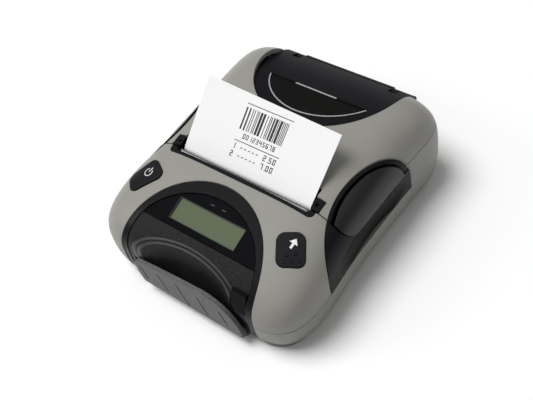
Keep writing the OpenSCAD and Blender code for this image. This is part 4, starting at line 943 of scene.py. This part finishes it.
def stage_material(name, colour):
    """A matt finish that is plain white where the background shows."""
    mat = bpy.data.materials.new(name)
    mat.use_nodes = True
    shader = mat.node_tree.nodes["Principled BSDF"]
    shader.inputs["Roughness"].default_value = 0.9
    shader.inputs["Specular IOR Level"].default_value = 0.0
    tint = mat.node_tree.nodes.new("ShaderNodeMix")
    tint.data_type = "RGBA"
    tint.inputs[6].default_value = (*colour, 1)
    tint.inputs[7].default_value = (1, 1, 1, 1)
    mat.node_tree.links.new(seen(mat.node_tree), tint.inputs[0])
    mat.node_tree.links.new(tint.outputs[2], shader.inputs["Base Color"])
    return mat


floor = new_mesh("floor", [(-6, -6, 0), (6, -6, 0), (6, 6, 0), (-6, 6, 0)], [(0, 1, 2, 3)])
floor.data.materials.append(stage_material("stage_floor", (0.62, 0.62, 0.62)))

world = bpy.data.worlds.new("studio") if scene.world is None else scene.world
scene.world = world
world.use_nodes = True
tree = world.node_tree
tree.nodes.clear()
out = tree.nodes.new("ShaderNodeOutputWorld")
sky = tree.nodes.new("ShaderNodeBackground")
sky.inputs["Color"].default_value = (1, 1, 1, 1)
sky.inputs["Strength"].default_value = 0.27
white = tree.nodes.new("ShaderNodeBackground")
white.inputs["Color"].default_value = (1, 1, 1, 1)
where = tree.nodes.new("ShaderNodeTexCoord")
split = tree.nodes.new("ShaderNodeSeparateXYZ")
fade = tree.nodes.new("ShaderNodeMapRange")
fade.interpolation_type = "SMOOTHSTEP"
fade.inputs["From Min"].default_value = 0.3
fade.inputs["From Max"].default_value = 0.95
fade.inputs["To Min"].default_value = 0.3
tree.links.new(where.outputs["Generated"], split.inputs[0])
tree.links.new(split.outputs["Z"], fade.inputs["Value"])
direct = tree.nodes.new("ShaderNodeLightPath")
strength = tree.nodes.new("ShaderNodeMath")
strength.operation = "MAXIMUM"
tree.links.new(fade.outputs["Result"], strength.inputs[0])
tree.links.new(direct.outputs["Is Camera Ray"], strength.inputs[1])
tree.links.new(strength.outputs[0], white.inputs["Strength"])
mix = tree.nodes.new("ShaderNodeMixShader")
tree.links.new(seen(tree), mix.inputs[0])
tree.links.new(sky.outputs[0], mix.inputs[1])
tree.links.new(white.outputs[0], mix.inputs[2])
tree.links.new(mix.outputs[0], out.inputs["Surface"])


def lamp(name, place, target, size, power):
    """A rectangular lamp that looks at the target."""
    light = bpy.data.lights.new(name, "AREA")
    light.shape, light.size, light.size_y, light.energy = "RECTANGLE", size[0], size[1], power
    obj = bpy.data.objects.new(name, light)
    obj.location = place
    obj.rotation_euler = (Vector(target) - Vector(place)).to_track_quat("-Z", "Y").to_euler()
    scene.collection.objects.link(obj)


lamp("side", (-0.65, -0.49, 0.57), (0, 0, 0.03), (0.3, 0.3), 1.1)
daylight = bpy.data.lights.new("key", "SUN")
daylight.energy, daylight.angle = 2.4, math.radians(34)
key_light = bpy.data.objects.new("key", daylight)
key_light.rotation_euler = Vector((-0.36, -0.16, 0.92)).to_track_quat("Z", "Y").to_euler()
key_light.visible_glossy = False
scene.collection.objects.link(key_light)

# The camera, as solved from the photograph, in metres
AZ, EL, ROLL = math.radians(47.214), math.radians(49.428), math.radians(-13.408)
DIST, TARGET = 0.438212, Vector((0.000002, -0.007766, 0.017087))
FOCAL_PX, PHOTO_W, SENSOR = 837.737, 533, 36.0
back = Vector((math.sin(AZ) * math.cos(EL), -math.cos(AZ) * math.cos(EL), math.sin(EL)))
right_dir = Vector((math.cos(AZ), math.sin(AZ), 0))
up_dir = back.cross(right_dir)
across = math.cos(ROLL) * right_dir + math.sin(ROLL) * up_dir
up = -math.sin(ROLL) * right_dir + math.cos(ROLL) * up_dir
place = TARGET + back * DIST
camera = bpy.data.cameras.new("camera")
camera.sensor_width = SENSOR
camera.lens = FOCAL_PX / PHOTO_W * SENSOR
camera.clip_start, camera.clip_end = 0.01, 20
eye = bpy.data.objects.new("camera", camera)
eye.matrix_world = Matrix(((across.x, up.x, back.x, place.x), (across.y, up.y, back.y, place.y),
                           (across.z, up.z, back.z, place.z), (0, 0, 0, 1)))
scene.collection.objects.link(eye)
scene.camera = eye
scene.view_settings.view_transform = "Standard"
